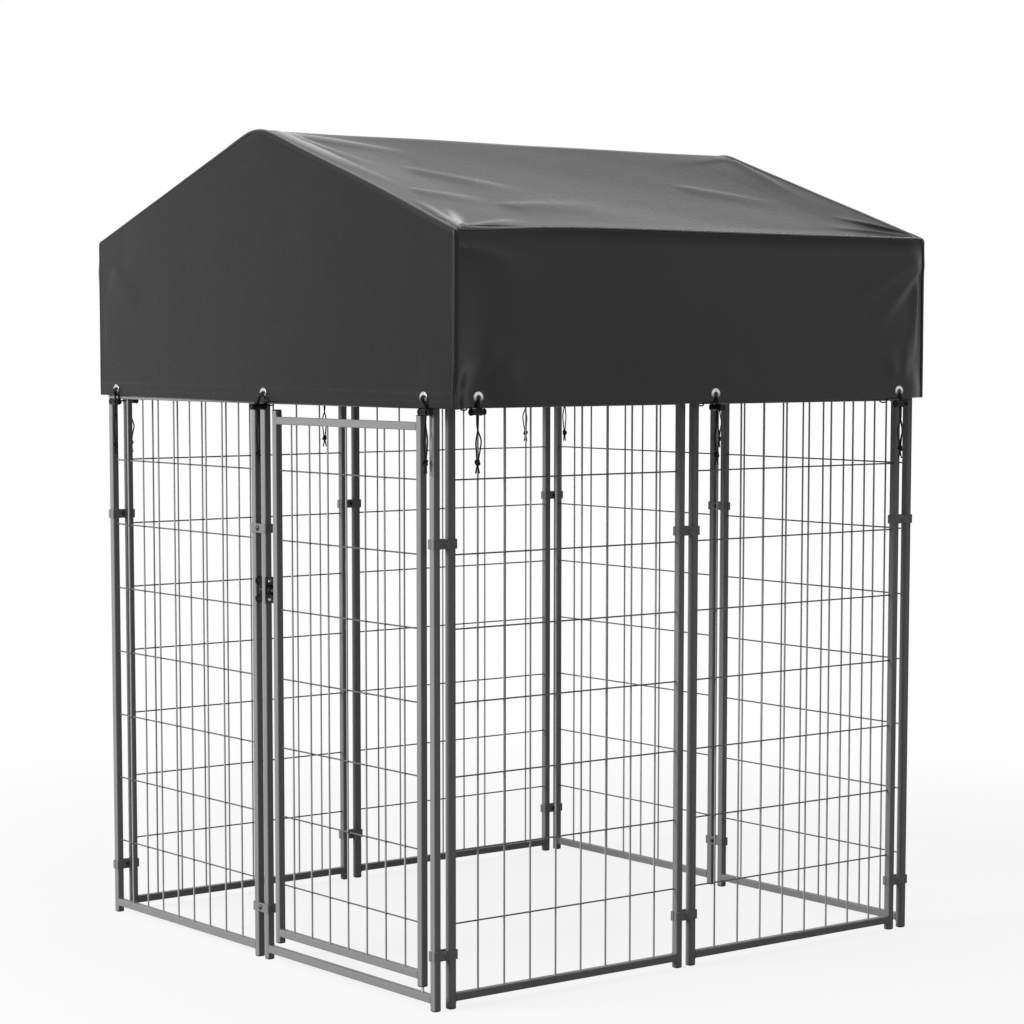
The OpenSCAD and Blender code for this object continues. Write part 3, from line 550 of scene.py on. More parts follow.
class Effects:
    """The effects that several finishes share."""

    def __init__(self) -> None:
        """Builds every effect."""
        self.peel = self.make_peel()
        self.patina = self.make_patina()
        self.weave = self.make_weave()
        self.stitch = self.make_stitch()
        self.braid = self.make_braid()
        self.cross = self.make_cross(PenSizes())

    @staticmethod
    def make_peel() -> Effect:
        """Fine skin of a sprayed or moulded surface: a broad noise plus one at three times its scale.

        Returns:
            The effect.
        """
        fx = Effect("skin_texture", {"Vector": (Socket.VECTOR, None), "Scale": (Socket.VALUE, 700.0)},
                    {"Height": Socket.VALUE})
        g = fx.graph
        broad = g.noise(fx["Vector"], fx["Scale"], 2.0)
        fine = g.noise(fx["Vector"], g.maths("MULTIPLY", fx["Scale"], 3.1), 1.0)
        fx.put("Height", g.maths("MULTIPLY_ADD", fine, 0.35, broad))
        return fx

    @staticmethod
    def make_patina() -> Effect:
        """Slow unevenness, small scuffs and dust near the ground, for colour and roughness.

        Returns:
            The effect.
        """
        fx = Effect("handling_patina",
                    {"Vector": (Socket.VECTOR, None), "Colour": (Socket.COLOUR, (0.2, 0.2, 0.2, 1.0)),
                     "Dust": (Socket.COLOUR, (0.35, 0.33, 0.30, 1.0)), "Roughness": (Socket.VALUE, 0.4),
                     "Uneven": (Socket.VALUE, 0.12), "Dust Amount": (Socket.VALUE, 0.25)},
                    {"Colour": Socket.COLOUR, "Roughness": Socket.VALUE})
        g = fx.graph
        slow = g.noise(fx["Vector"], 7.0, 3.0)
        fine = g.noise(fx["Vector"], 160.0, 4.0, 0.65)
        tone = g.maths("MULTIPLY_ADD", g.maths("SUBTRACT", slow, 0.5), fx["Uneven"], 1.0)
        less = g.maths("MULTIPLY", fx["Uneven"], 0.8)
        tone = g.maths("MULTIPLY_ADD", g.maths("SUBTRACT", fine, 0.5), less, tone)
        shaded = g.shade(fx["Colour"], tone)
        height = g.axes(fx["Vector"])["Z"]
        low = g.remap(height, 0.0, 0.14, 1.0, 0.0)
        speck = g.remap(fine, 0.42, 0.62, 0.0, 1.0)
        dust = g.maths("MULTIPLY", g.maths("MULTIPLY", low, speck), fx["Dust Amount"])
        fx.put("Colour", g.mix(dust, shaded, fx["Dust"]))
        scuff = g.maths("MULTIPLY_ADD", g.maths("SUBTRACT", fine, 0.5), 0.22, fx["Roughness"])
        fx.put("Roughness", g.maths("MULTIPLY_ADD", dust, 0.4, scuff, clamp=True))
        return fx

    @staticmethod
    def make_weave() -> Effect:
        """Plain weave: the product of two sine waves of the cloth's own u and v, one thread apart.

        Returns:
            The effect.
        """
        fx = Effect("plain_weave", {"UV": (Socket.VECTOR, None), "Thread": (Socket.VALUE, 0.0007)},
                    {"Height": Socket.VALUE, "Mask": Socket.VALUE})
        g = fx.graph
        uv = g.axes(fx["UV"])
        rate = g.maths("DIVIDE", math.pi, fx["Thread"])
        over = g.maths("SINE", g.maths("MULTIPLY", uv[0], rate))
        under = g.maths("SINE", g.maths("MULTIPLY", uv[1], rate))
        weave = g.maths("MULTIPLY", over, under)
        fx.put("Height", weave)
        fx.put("Mask", g.remap(weave, -1.0, 1.0, 0.0, 1.0))
        return fx

    @staticmethod
    def make_stitch() -> Effect:
        """Rows of stitches: dashes along u where v is within half a thread of either of two lines.

        Returns:
            The effect.
        """
        fx = Effect("lock_stitch",
                    {"UV": (Socket.VECTOR, None), "Line A": (Socket.VALUE, 0.004),
                     "Line B": (Socket.VALUE, 0.020), "Length": (Socket.VALUE, 0.0042),
                     "Thread": (Socket.VALUE, 0.0009)},
                    {"Mask": Socket.VALUE})
        g = fx.graph
        uv = g.axes(fx["UV"])
        half = g.maths("MULTIPLY", fx["Thread"], 0.5)
        rows = []
        for line in ("Line A", "Line B"):
            off = g.maths("ABSOLUTE", g.maths("SUBTRACT", uv[1], fx.source[line]))
            rows.append(g.maths("LESS_THAN", off, half))
        phase = g.maths("FRACT", g.maths("DIVIDE", uv[0], fx["Length"]))
        dash = g.maths("LESS_THAN", g.maths("ABSOLUTE", g.maths("SUBTRACT", phase, 0.5)), 0.38)
        fx.put("Mask", g.maths("MULTIPLY", g.maths("MAXIMUM", rows[0], rows[1]), dash))
        return fx

    @staticmethod
    def make_braid() -> Effect:
        """Braided sheath: the larger of two sine waves that wind opposite ways round the cord.

        Returns:
            The effect.
        """
        fx = Effect("cord_braid", {"UV": (Socket.VECTOR, None), "Strands": (Socket.VALUE, 8.0),
                                   "Rise": (Socket.VALUE, 420.0)}, {"Height": Socket.VALUE})
        g = fx.graph
        uv = g.axes(fx["UV"])
        turn = g.maths("MULTIPLY", uv[0], g.maths("MULTIPLY", fx["Strands"], 2 * math.pi))
        rise = g.maths("MULTIPLY", uv[1], g.maths("MULTIPLY", fx["Rise"], 2 * math.pi))
        left = g.maths("SINE", g.maths("ADD", turn, rise))
        right = g.maths("SINE", g.maths("SUBTRACT", turn, rise))
        fx.put("Height", g.maths("MAXIMUM", left, right))
        return fx

    @staticmethod
    def make_cross(pen: PenSizes) -> Effect:
        """Mask of the cross wires, where the wire coat gets painted shade: 1 where the height is within
        half a wire of one of their levels.

        Args:
            pen: sizes of the panels.

        Returns:
            The effect.
        """
        fx = Effect("cross_wire_painted_shade", {"Vector": (Socket.VECTOR, None)}, {"Mask": Socket.VALUE})
        g = fx.graph
        height = g.axes(fx["Vector"])["Z"]
        steps = g.maths("DIVIDE", g.maths("SUBTRACT", height, pen.rail_low_z), pen.pitch_cross)
        off = g.maths("ABSOLUTE", g.maths("SUBTRACT", steps, g.maths("ROUND", steps)))
        half = pen.wire_cross_d / 2 / pen.pitch_cross
        fx.put("Mask", g.maths("LESS_THAN", off, half * 1.05))
        return fx


@dataclass(frozen=True)
class Finish:
    """A finish of the object, made of the shared effects."""

    name: str
    colour: tuple[float, float, float]

    def inputs(self, graph: Graph, effects: Effects) -> dict[str, object]:
        """Adds the finish's own nodes.

        Args:
            graph: the graph of the new material.
            effects: the shared effects.

        Returns:
            Values and sockets for the shader's inputs, by name.
        """
        raise NotImplementedError

    def make(self, effects: Effects) -> bpy.types.Material:
        """Builds the material."""
        material, graph, shader = new_material(self.name)
        graph.feed(shader, self.inputs(graph, effects))
        return material


@dataclass(frozen=True)
class CoatFinish(Finish):
    """A sprayed, plated or moulded finish, with painted shade on the cross wires and below a given height
    where asked.
    """

    metallic: float
    roughness: float
    skin_scale: float
    skin_depth: float
    uneven: float = 0.12
    dust: float = 0.25
    specular: float = 0.5
    # painted shade on the cross wires
    cross_shade_tone: float = 1.0
    # painted shade below a given height: its tone at the bottom and the heights over which it fades
    under_shade_tone: float = 1.0
    under_shade_range: tuple[float, float] = (1.197, 1.208)
    skin_strength: float = 0.5

    def inputs(self, graph: Graph, effects: Effects) -> dict[str, object]:
        """Adds patina, skin and painted shade, all by the piece's Object coordinates.

        Args:
            graph: the graph of the new material.
            effects: the shared effects.

        Returns:
            Values and sockets for the shader's inputs, by name.
        """
        place = graph.add("ShaderNodeTexCoord").outputs["Object"]
        patina = effects.patina.place(graph, {"Vector": place, "Colour": (*self.colour, 1.0),
                                              "Roughness": self.roughness, "Uneven": self.uneven,
                                              "Dust Amount": self.dust}).outputs
        skin = effects.peel.place(graph, {"Vector": place, "Scale": self.skin_scale}).outputs["Height"]
        colour = patina["Colour"]
        # painted shade: the cross wires are darkened as if shaded
        if self.cross_shade_tone < 1.0:
            cross = effects.cross.place(graph, {"Vector": place}).outputs["Mask"]
            colour = graph.shade(colour, graph.remap(cross, 0.0, 1.0, 1.0, self.cross_shade_tone))
        # painted shade: darker below the given height, as the eyelets' lower halves in the shade of the
        # cords
        if self.under_shade_tone < 1.0:
            height = graph.axes(place)["Z"]
            colour = graph.shade(colour, graph.remap(height, *self.under_shade_range, self.under_shade_tone, 1.0))
        return {"Base Color": colour, "Roughness": patina["Roughness"], "Metallic": self.metallic,
                "Normal": graph.bump(skin, self.skin_strength, self.skin_depth),
                "Specular IOR Level": self.specular}


@dataclass(frozen=True)
class ClothFinish(Finish):
    """Coated cloth: a satin film over a plain weave, with stitches where asked and a pale tint on the
    piping as a painted highlight where asked.

    The film is duller on the slopes than below them and glossier near the front rake, and the crests of the
    folds carry a painted highlight: a paler colour and a higher specular level.
    """

    roughness: float
    specular: float
    thread: float = 0.0008
    stitched: bool = False
    line_a: float = 0.004
    line_b: float = 0.020
    slope_specular: float = 0.0
    slope_from: tuple[float, float] = (1.50, 1.55)
    end_specular: float = 0.0
    end_range: tuple[float, float] = (0.655, 0.662)
    # pale tint of the piping's cord, a painted highlight; 0 for none
    piping: float = 0.0
    piping_from: float = 1.515
    piping_w: float = 0.0042
    rake_specular: float = 0.14
    # painted highlight on the folds' crests: a higher specular level and a paler colour
    crest_highlight_specular: float = 0.40
    crest_highlight_tone: float = 0.40
    stitch_colour: tuple[float, float, float] = (0.012, 0.012, 0.0125)

    def inputs(self, graph: Graph, effects: Effects) -> dict[str, object]:
        """Adds film, weave, stitches and the piping's painted highlight; weave, stitches and piping follow
        the piece's UV map.

        Args:
            graph: the graph of the new material.
            effects: the shared effects.

        Returns:
            Values and sockets for the shader's inputs, by name.
        """
        coords = graph.add("ShaderNodeTexCoord").outputs
        place = graph.axes(coords["Object"])
        weave = effects.weave.place(graph, {"UV": coords["UV"], "Thread": self.thread}).outputs
        slow = graph.noise(coords["Object"], 5.0, 3.0)
        film = graph.noise(coords["Object"], 38.0, 4.0, 0.6)
        tone = graph.maths("SUBTRACT", graph.remap(slow, 0.3, 0.7, 0.91, 1.04), 0.03)
        # painted shade: the weave's low points are darker and its thread tops lighter
        tone = graph.maths("MULTIPLY_ADD", weave["Mask"], 0.06, tone)
        colour = graph.shade((*self.colour, 1.0), tone)
        height = graph.maths("MULTIPLY", weave["Height"], 0.5)
        rough = graph.remap(film, 0.3, 0.7, self.roughness - 0.012, self.roughness + 0.015)
        if self.stitched:
            lines = {"UV": coords["UV"], "Line A": self.line_a, "Line B": self.line_b}
            stitch = effects.stitch.place(graph, lines).outputs["Mask"]
            colour = graph.mix(stitch, colour, (*self.stitch_colour, 1.0))
            height = graph.maths("MULTIPLY_ADD", stitch, 3.0, height)
            rough = graph.maths("MULTIPLY_ADD", stitch, 0.10, rough, clamp=True)
        # painted highlight: the piping's cord above a given height is tinted pale
        if self.piping > 0.0:
            cord = graph.maths("LESS_THAN", graph.axes(coords["UV"])["Y"], self.piping_w)
            above = graph.remap(place["Z"], self.piping_from, self.piping_from + 0.02, 0.0, 1.0)
            colour = graph.mix(graph.maths("MULTIPLY", cord, above), colour, (*[self.piping] * 3, 1.0))
        specular: object = self.specular
        if self.slope_specular > 0.0:
            painted_highlight = graph.add("ShaderNodeAttribute", attribute_name=CREST).outputs["Fac"]
            # painted highlight: the crests of the folds are painted paler
            colour = graph.mix(graph.maths("POWER", painted_highlight, 2.0), colour, (*[self.crest_highlight_tone] * 3, 1.0))
            specular = self.slope_gloss(graph, place, painted_highlight)
        elif self.end_specular > 0.0:
            ahead = graph.maths("ABSOLUTE", place["Y"])
            specular = graph.remap(ahead, *self.end_range, self.specular, self.end_specular)
        return {"Base Color": colour, "Roughness": rough, "Normal": graph.bump(height, 0.08, 0.00015),
                "Specular IOR Level": specular, "Sheen Weight": 0.01, "Sheen Roughness": 0.5}

    def slope_gloss(self, graph: Graph, place: bpy.types.bpy_prop_collection,
                    painted_highlight: bpy.types.NodeSocket) -> bpy.types.NodeSocket:
        """Adds the film's specular level on the skirts and slopes.

        Args:
            graph: the graph of the new material.
            place: the three Object coordinates.
            painted_highlight: weight of the painted highlight, 1 on a fold's crest.

        Returns:
            The plain level below the eaves. Above them it falls from the front to the rear, and rises near
            the front rake and on the crests, where the folds get their painted highlight.
        """
        dull = graph.remap(place["Y"], -0.6, 0.65, self.slope_specular * 1.3, self.slope_specular * 0.3)
        dull = graph.maths("ADD", dull, graph.remap(place["Y"], -0.66, -0.40, self.rake_specular, 0.0))
        dull = graph.maths("MULTIPLY_ADD", painted_highlight, self.crest_highlight_specular, dull)
        below = graph.remap(place["Z"], *self.slope_from, self.specular, 0.0)
        above = graph.remap(place["Z"], *self.slope_from, 0.0, 1.0)
        return graph.maths("MULTIPLY_ADD", above, dull, below)


@dataclass(frozen=True)
class CordFinish(Finish):
    """Elastic cord with a braided sheath."""

    strands: float = 8.0
    rise: float = 420.0

    def inputs(self, graph: Graph, effects: Effects) -> dict[str, object]:
        """Adds the braid, which follows the cord's own UV map, is rougher in its grooves and has painted
        shade darkening them.

        Args:
            graph: the graph of the new material.
            effects: the shared effects.

        Returns:
            Values and sockets for the shader's inputs, by name.
        """
        uv = graph.add("ShaderNodeTexCoord").outputs["UV"]
        lay = {"UV": uv, "Strands": self.strands, "Rise": self.rise}
        braid = effects.braid.place(graph, lay).outputs["Height"]
        # painted shade: the braid's grooves are darker than its strands
        colour = graph.shade((*self.colour, 1.0), graph.remap(braid, -0.4, 1.0, 0.55, 1.25))
        return {"Base Color": colour, "Roughness": graph.remap(braid, -0.4, 1.0, 0.85, 0.6),
                "Normal": graph.bump(braid, 0.6, 0.0003), "Sheen Weight": 0.02, "Specular IOR Level": 0.15}


@dataclass
class Finishes:
    """Every finish of the object, made once."""

    effects: Effects = field(default_factory=Effects)
    made: dict[str, bpy.types.Material] = field(default_factory=dict)

    def __post_init__(self) -> None:
        """Makes the materials."""
        for finish in (
            CoatFinish("grey_powder_coat", (0.270, 0.271, 0.275), 0.0, 0.36, 900.0, 0.00025, specular=0.16),
            # the wires' coat is the tubes' powder coat painted lighter for the light the round wires catch,
            # with painted shade on the cross wires
            CoatFinish("wire_coat_painted_light_and_shade", (0.470, 0.471, 0.475), 0.0, 0.36, 900.0, 0.00020, specular=0.35,
                       cross_shade_tone=0.24),
            CoatFinish("grey_clamp_coat", (0.230, 0.230, 0.235), 0.0, 0.34, 900.0, 0.00025, specular=0.18),
            CoatFinish("black_powder_coat", (0.030, 0.030, 0.032), 0.10, 0.34, 800.0, 0.00030),
            CoatFinish("black_steel", (0.045, 0.045, 0.047), 0.55, 0.24, 1200.0, 0.00010, 0.2, 0.2),
            CoatFinish("zinc_plate", (0.56, 0.56, 0.55), 1.0, 0.30, 1400.0, 0.00008, 0.2, 0.1),
            # the eyelets' lower halves get painted shade, as if in the shade of the cords
            CoatFinish("eyelet_nickel", (0.58, 0.57, 0.55), 1.0, 0.22, 1100.0, 0.00006, 0.16, 0.0,
                       under_shade_tone=0.08),
            CoatFinish("black_moulding", (0.006, 0.006, 0.0065), 0.0, 0.20, 1500.0, 0.00004, 0.3, 0.0,
                       specular=0.14),
            CoatFinish("weld_bead", (0.250, 0.250, 0.255), 0.0, 0.40, 1600.0, 0.00030, specular=0.16),
            ClothFinish("black_cover_cloth", (0.0070, 0.0070, 0.0071), 0.27, 0.30, slope_specular=0.078),
            # the eave and binding piping are tinted pale as a painted highlight
            ClothFinish("black_cover_eave", (0.0070, 0.0070, 0.0071), 0.27, 0.03, piping=0.40,
                        piping_from=1.0),
            ClothFinish("black_cover_gable", (0.0066, 0.0066, 0.0067), 0.27, 0.18),
            ClothFinish("black_cover_hem", (0.0066, 0.0066, 0.0067), 0.27, 0.30, stitched=True,
                        end_specular=0.18),
            ClothFinish("black_cover_binding", (0.0075, 0.0075, 0.0077), 0.27, 0.22, 0.0006, True,
                        0.0050, 0.0098, piping=0.17),
            CordFinish("black_elastic_cord", (0.006, 0.006, 0.006)),
        ):
            self.made[finish.name] = finish.make(self.effects)

    def __getitem__(self, name: str) -> bpy.types.Material:
        """The material of that name."""
        return self.made[name]


# Roof cover


class Panel(Enum):
    """Panels of the cover that a fold can lie on."""

    SLOPE_RIGHT = "slope_right"
    SLOPE_LEFT = "slope_left"
    SKIRT_RIGHT = "skirt_right"
    SKIRT_LEFT = "skirt_left"
    GABLE_FRONT = "gable_front"
    GABLE_REAR = "gable_rear"


@dataclass(frozen=True)
class Fold:
    """A tension fold: a ridge from one point of a panel to another that widens and dies out on the way."""

    panel: Panel
    start: tuple[float, float]
    end: tuple[float, float]
    height: float
    width: float
    widen: float = 1.8
    # weight of the painted highlight on the fold's crest
    shine: float = 0.0
    flanks: tuple[float, float] = (0.62, 1.25)
    lead: float = 0.08
    rise: float = 0.2
    fall: float = 0.65

    def shape(self, a: Array, b: Array) -> Array:
        """Shape of the fold over a panel, from 0 off the fold to 1 on its crest.

        Args:
            a: first coordinate of each point on the panel.
            b: second coordinate of each point.

        Returns:
            A bell across the fold's line times a ramp along it. The bell is steeper on one side, as a
            pulled fold is.
        """
        line = np.array(self.end) - np.array(self.start)
        length = float(np.hypot(*line))
        ua, ub = line / length
        along = ((a - self.start[0]) * ua + (b - self.start[1]) * ub) / length
        across = (b - self.start[1]) * ua - (a - self.start[0]) * ub
        width = self.width * (1.0 + (self.widen - 1.0) * np.clip(along, 0.0, 1.0))
        width = width * np.where(across > 0, *self.flanks)
        share = ramp(along, -self.lead, self.rise) * ramp(along, 1.0, -self.fall)
        return bell(across ** 2, width) * ease(share)


@dataclass
class RoofCover:
    """The cloth cover: two halves over the ridge, two gables sewn to them, the hem and the bindings."""

    sizes: RoofSizes
    eave_r: float = 0.010
    edge_r: float = 0.004
    rows_skirt: int = 60
    rows_eave: int = 6
    rows_slope: int = 124
    rows_ridge: int = 10
    cols_length: int = 228
    cols_edge: int = 4
    tape_over: float = 0.0055
    tape_face: float = 0.003
    askew: float = 0.018
    flare: float = 0.017
    flare_reach: float = 0.045
    corner_pull: tuple[float, float] = (0.016, 0.002)
    pull_reach: tuple[float, float] = (0.30, 0.15)
    corner_droop: float = 0.012
    droop_reach: float = 0.20
    droop_rise: float = 0.3
    groove_depth: float = 0.0032
    groove_at: float = 0.018
    groove_w: float = 0.006
    groove_end: float = 0.08
    groove_top: float = 1.50
    sag: float = 0.007
    sag_span: float = 0.7
    sag_end: tuple[float, float] = (0.06, 0.12)
    bow_clear: tuple[float, float] = (0.10, 0.05)
    eyelet_clear: tuple[float, float] = (0.014, 0.03)
    swell: float = 0.0005
    hem_low: float = 0.0035
    hem_low_reach: float = 0.20
    hem_high: tuple[float, float] = (0.006, 0.004)
    hem_high_reach: tuple[float, float] = (0.5, 0.4)
    hem_wave: float = 0.0008
    hem_fade: float = 0.12
    hold_reach: float = 0.090
    hold_fall: float = 0.075
    tape_cord_r: float = 0.002
    tape_cord_proud: float = 0.0026
    tape_proud: float = 0.0010
    tape_sunk: float = 0.0004
    pipe_at: float = 0.75
    pipe_r: float = 0.0026
    pipe_proud: float = 0.0030
    pipe_sunk: float = 0.0003
    pipe_flange: tuple[float, float] = (0.004, 0.014)
    pipe_flat: float = 0.0038
    flange_proud: float = 0.0007
    flange_taper: tuple[float, float] = (0.03, 0.08)
    flange_least: float = 0.06
    eyelets: Sequence[Array] = ()

    @staticmethod
    def faces(part: Array) -> Array:
        """Share of a panel in each point, from the part of the normal that points the panel's way."""
        return ramp(part, 0.6, 0.3)

    def up_slope(self, x: Array) -> Array:
        """Distance of points from the eave's corner, measured up the slope."""
        return (self.sizes.half_width - np.abs(x)) / math.cos(self.sizes.pitch)

    def from_corner(self, points: Array, side_x: float, side_y: float) -> Array:
        """Squared distance of points in plan from the corner on the given sides.

        Args:
            points: rows of (x, y, z) on the taut shape.
            side_x: 1 for the right side, -1 for the left.
            side_y: 1 for the rear, -1 for the front.

        Returns:
            One value for each point.
        """
        dx = points[:, 0] - side_x * self.sizes.half_width
        dy = points[:, 1] - side_y * self.sizes.half_length
        return dx ** 2 + dy ** 2

    def profile(self, rows: tuple[int, int, int, int]) -> tuple[Array, Array]:
        """Line of the cloth seen along the ridge, from the right hem over the ridge to the left hem.

        Args:
            rows: number of steps on a skirt, round an eave, up a slope and round half the ridge.

        Returns:
            Points (x, z) and outward normals. The skirts and slopes are straight, and the eaves and the
            ridge are arcs that touch them.
        """
        sz, (n_skirt, n_eave, n_slope, n_ridge) = self.sizes, rows
        m, d = sz.slope_normal, sz.slope_offset
        eave_x = sz.half_width - self.eave_r
        eave = np.array([eave_x, (d - self.eave_r - m[0] * eave_x) / m[1]])
        ridge = np.array([0.0, (d - sz.ridge_round) / m[1]])
        steep = math.pi / 2 - sz.pitch

        def arc(centre: Array, r: float, start: float, stop: float, n: int) -> tuple[Array, Array]:
            """Points and normals of an arc, without its first point."""
            w = np.linspace(start, stop, n + 1)[1:]
            normal = np.stack([np.cos(w), np.sin(w)], axis=1)
            return centre + r * normal, normal

        z = np.linspace(sz.hem_z, eave[1], n_skirt + 1)
        skirt = np.stack([np.full_like(z, sz.half_width), z], axis=1)
        flat = np.tile([1.0, 0.0], (len(z), 1))
        eave_p, eave_n = arc(eave, self.eave_r, 0.0, steep, n_eave)
        low, high = eave + self.eave_r * m, ridge + sz.ridge_round * m
        t = np.linspace(0.0, 1.0, n_slope + 1)[1:, None]
        slope = low + t * (high - low)
        slope_n = np.tile(m, (n_slope, 1))
        ridge_p, ridge_n = arc(ridge, sz.ridge_round, steep, math.pi / 2, n_ridge)
        points = np.concatenate([skirt, eave_p, slope, ridge_p])
        normals = np.concatenate([flat, eave_n, slope_n, ridge_n])
        mirror = np.array([-1.0, 1.0])
        return (np.concatenate([points, points[-2::-1] * mirror]),
                np.concatenate([normals, normals[-2::-1] * mirror]))

    def edge_path(self) -> tuple[Array, Array]:
        """Steps along the ridge, with a quarter turn on to each gable.

        Returns:
            The place along Y of the turn's centre, and the turn's angle, for each step.
        """
        inner = self.sizes.half_length - self.edge_r
        turn = np.linspace(0.0, math.pi / 2, self.cols_edge + 1)
        flat = np.linspace(-inner, inner, self.cols_length + 1)
        place = np.concatenate([np.full(self.cols_edge, -inner), flat, np.full(self.cols_edge, inner)])
        angle = np.concatenate([-turn[:0:-1], 0 * flat, turn[1:]])
        return place, angle

    def folds(self) -> list[Fold]:
        """Tension folds: fans at the corners of the slopes, the ends of the skirts and the eyelets.

        Returns:
            The folds of every panel.
        """
        made: list[Fold] = []
        for panel, s in ((Panel.SLOPE_RIGHT, 1.0), (Panel.SLOPE_LEFT, -1.0)):
            made += [
                Fold(panel, (-0.642, 0.660), (-0.598, 0.250), 0.0085, 0.015, 1.6, 1.0),
                Fold(panel, (-0.628, 0.668), (-0.540, 0.400), 0.0050, 0.012, 1.9, 0.7),
                Fold(panel, (-0.620, 0.640), (-0.350, 0.555), 0.0070, 0.015, 2.0, 0.9),
                Fold(panel, (-0.650, 0.004), (-0.626, 0.190), 0.0080, 0.009, 1.5, 0.9),
                Fold(panel, (-0.648, 0.004), (-0.585, 0.140), 0.0075, 0.009, 1.8, 0.9),
                Fold(panel, (-0.640, 0.010), (-0.440, 0.060), 0.0060, 0.012, 2.0, 0.4),
                Fold(panel, (-0.580, 0.245), (-0.420, 0.195), 0.0034, 0.020, 1.6, 0.3),
                Fold(panel, (-0.470, 0.420), (-0.240, 0.280), 0.0038, 0.026, 1.6, 0.2),
                Fold(panel, (-0.420, 0.160), (-0.100, 0.200), 0.0024, 0.028, 1.8),
                Fold(panel, (0.640, 0.640), (0.560, 0.280), 0.0030, 0.018, 1.8),
                Fold(panel, (0.620, 0.640), (0.360, 0.560), 0.0018, 0.018, 2.2),
                Fold(panel, (0.640, 0.015), (0.520, 0.180), 0.0065, 0.013, 1.9),
                Fold(panel, (0.630, 0.012), (0.400, 0.080), 0.0045, 0.013, 2.2),
                Fold(panel, (0.250 * s, 0.380), (0.480 * s, 0.250), 0.0022, 0.032, 1.5),
            ]
        for panel, s in ((Panel.SKIRT_RIGHT, 1.0), (Panel.SKIRT_LEFT, -1.0)):
            made += [
                Fold(panel, (0.650 * s, 1.500), (0.400 * s, 1.385), 0.0085, 0.026, 1.8),
                Fold(panel, (0.655 * s, 1.480), (0.480 * s, 1.330), 0.0075, 0.021, 1.7),
                Fold(panel, (0.644 * s, 1.440), (0.618 * s, 1.250), 0.0055, 0.014, 1.4),
                Fold(panel, (0.572 * s, 1.215), (0.520 * s, 1.300), 0.0036, 0.014, 1.9),
                Fold(panel, (0.580 * s, 1.220), (0.610 * s, 1.330), 0.0030, 0.012, 1.7),
                Fold(panel, (-0.575 * s, 1.215), (-0.470 * s, 1.300), 0.0040, 0.018, 2.0),
                Fold(panel, (-0.580 * s, 1.222), (-0.550 * s, 1.350), 0.0030, 0.016, 1.8),
                Fold(panel, (-0.650 * s, 1.505), (-0.440 * s, 1.455), 0.0050, 0.013, 2.0),
                Fold(panel, (0.034 * s, 1.217), (0.110 * s, 1.290), 0.0010, 0.018, 2.0),
            ]
        for panel, s in ((Panel.GABLE_FRONT, 1.0), (Panel.GABLE_REAR, -1.0)):
            made.append(Fold(panel, (-0.600 * s, 1.470), (-0.450 * s, 1.380), 0.0008, 0.030, 1.6))
            made.append(Fold(panel, (0.585 * s, 1.235), (0.540 * s, 1.360), 0.0008, 0.020, 1.8))
        return made

    def each_fold(self, points: Array, normals: Array) -> Iterator[tuple[Fold, Array]]:
        """Every fold with its shape over the points, which is 0 where they face another way.

        Args:
            points: rows of (x, y, z) on the taut shape.
            normals: outward directions there.

        Returns:
            Pairs of a fold and one value for each point.
        """
        x, y, z = points.T
        u = self.up_slope(x)
        facing = {
            Panel.SLOPE_RIGHT: (normals[:, 2] * (x >= 0), y, u),
            Panel.SLOPE_LEFT: (normals[:, 2] * (x < 0), y, u),
            Panel.SKIRT_RIGHT: (normals[:, 0], y, z), Panel.SKIRT_LEFT: (-normals[:, 0], y, z),
            Panel.GABLE_FRONT: (-normals[:, 1], x, z), Panel.GABLE_REAR: (normals[:, 1], x, z),
        }
        for fold in self.folds():
            weight, a, b = facing[fold.panel]
            yield fold, self.faces(weight) * fold.shape(a, b)

    def lift(self, points: Array, normals: Array) -> Array:
        """How far the cloth stands off its taut shape, along its normal.

        Args:
            points: rows of (x, y, z) on the taut shape.
            normals: outward directions there.

        Returns:
            The folds of the panel that each point faces, a slow swell made of a few sine waves, and a sag
            between the bows, all fading to nothing at the eyelets and at the sewn edges.
        """
        sz = self.sizes
        x, y, z = points.T
        total = np.zeros(len(points))
        for fold, shape in self.each_fold(points, normals):
            total += fold.height * shape
        inside = ramp(np.abs(y), sz.half_length - self.sag_end[0], -self.sag_end[1])
        slope = self.faces(normals[:, 2])
        span = np.sin(math.pi * ramp(self.up_slope(x), 0.0, self.sag_span))
        total -= self.sag * slope * inside * span * np.cos(0.5 * math.pi * y / sz.half_length)
        wave = (np.sin(11.0 * y + 5.0 * x + 0.6) * np.sin(7.0 * z + 3.0 * y - 4.0 * x)
                + 0.6 * np.sin(19.0 * x - 13.0 * y + 1.7) * np.sin(17.0 * z + 0.4))
        total += self.swell * wave * np.maximum(ramp(z, sz.hem_z, 0.06), 0.2)
        total -= self.groove(points, normals)
        for spot in self.eyelets:
            total *= ramp(np.linalg.norm(points - spot, axis=1), *self.eyelet_clear) ** 2
        near_bow = ramp(np.abs(y), sz.half_length - self.bow_clear[0], self.bow_clear[1])
        return np.where(total < 0.0, total * (1.0 - near_bow), total)

    def groove(self, points: Array, normals: Array) -> Array:
        """Depth of the soft groove beside each upright corner: a bell across it, gone at both ends.

        Args:
            points: rows of (x, y, z) on the taut shape.
            normals: outward directions there.

        Returns:
            One depth for each point.
        """
        sz = self.sizes
        x, y, z = points.T
        gap = np.where(np.abs(normals[:, 1]) > 0.7, sz.half_width - np.abs(x), sz.half_length - np.abs(y))
        upright = ramp(normals[:, 2], 0.5, -0.3)
        share = ramp(z, sz.hem_z, self.groove_end) * ramp(z, self.groove_top, -self.groove_end)
        return self.groove_depth * upright * share * bell((gap - self.groove_at) ** 2, self.groove_w)

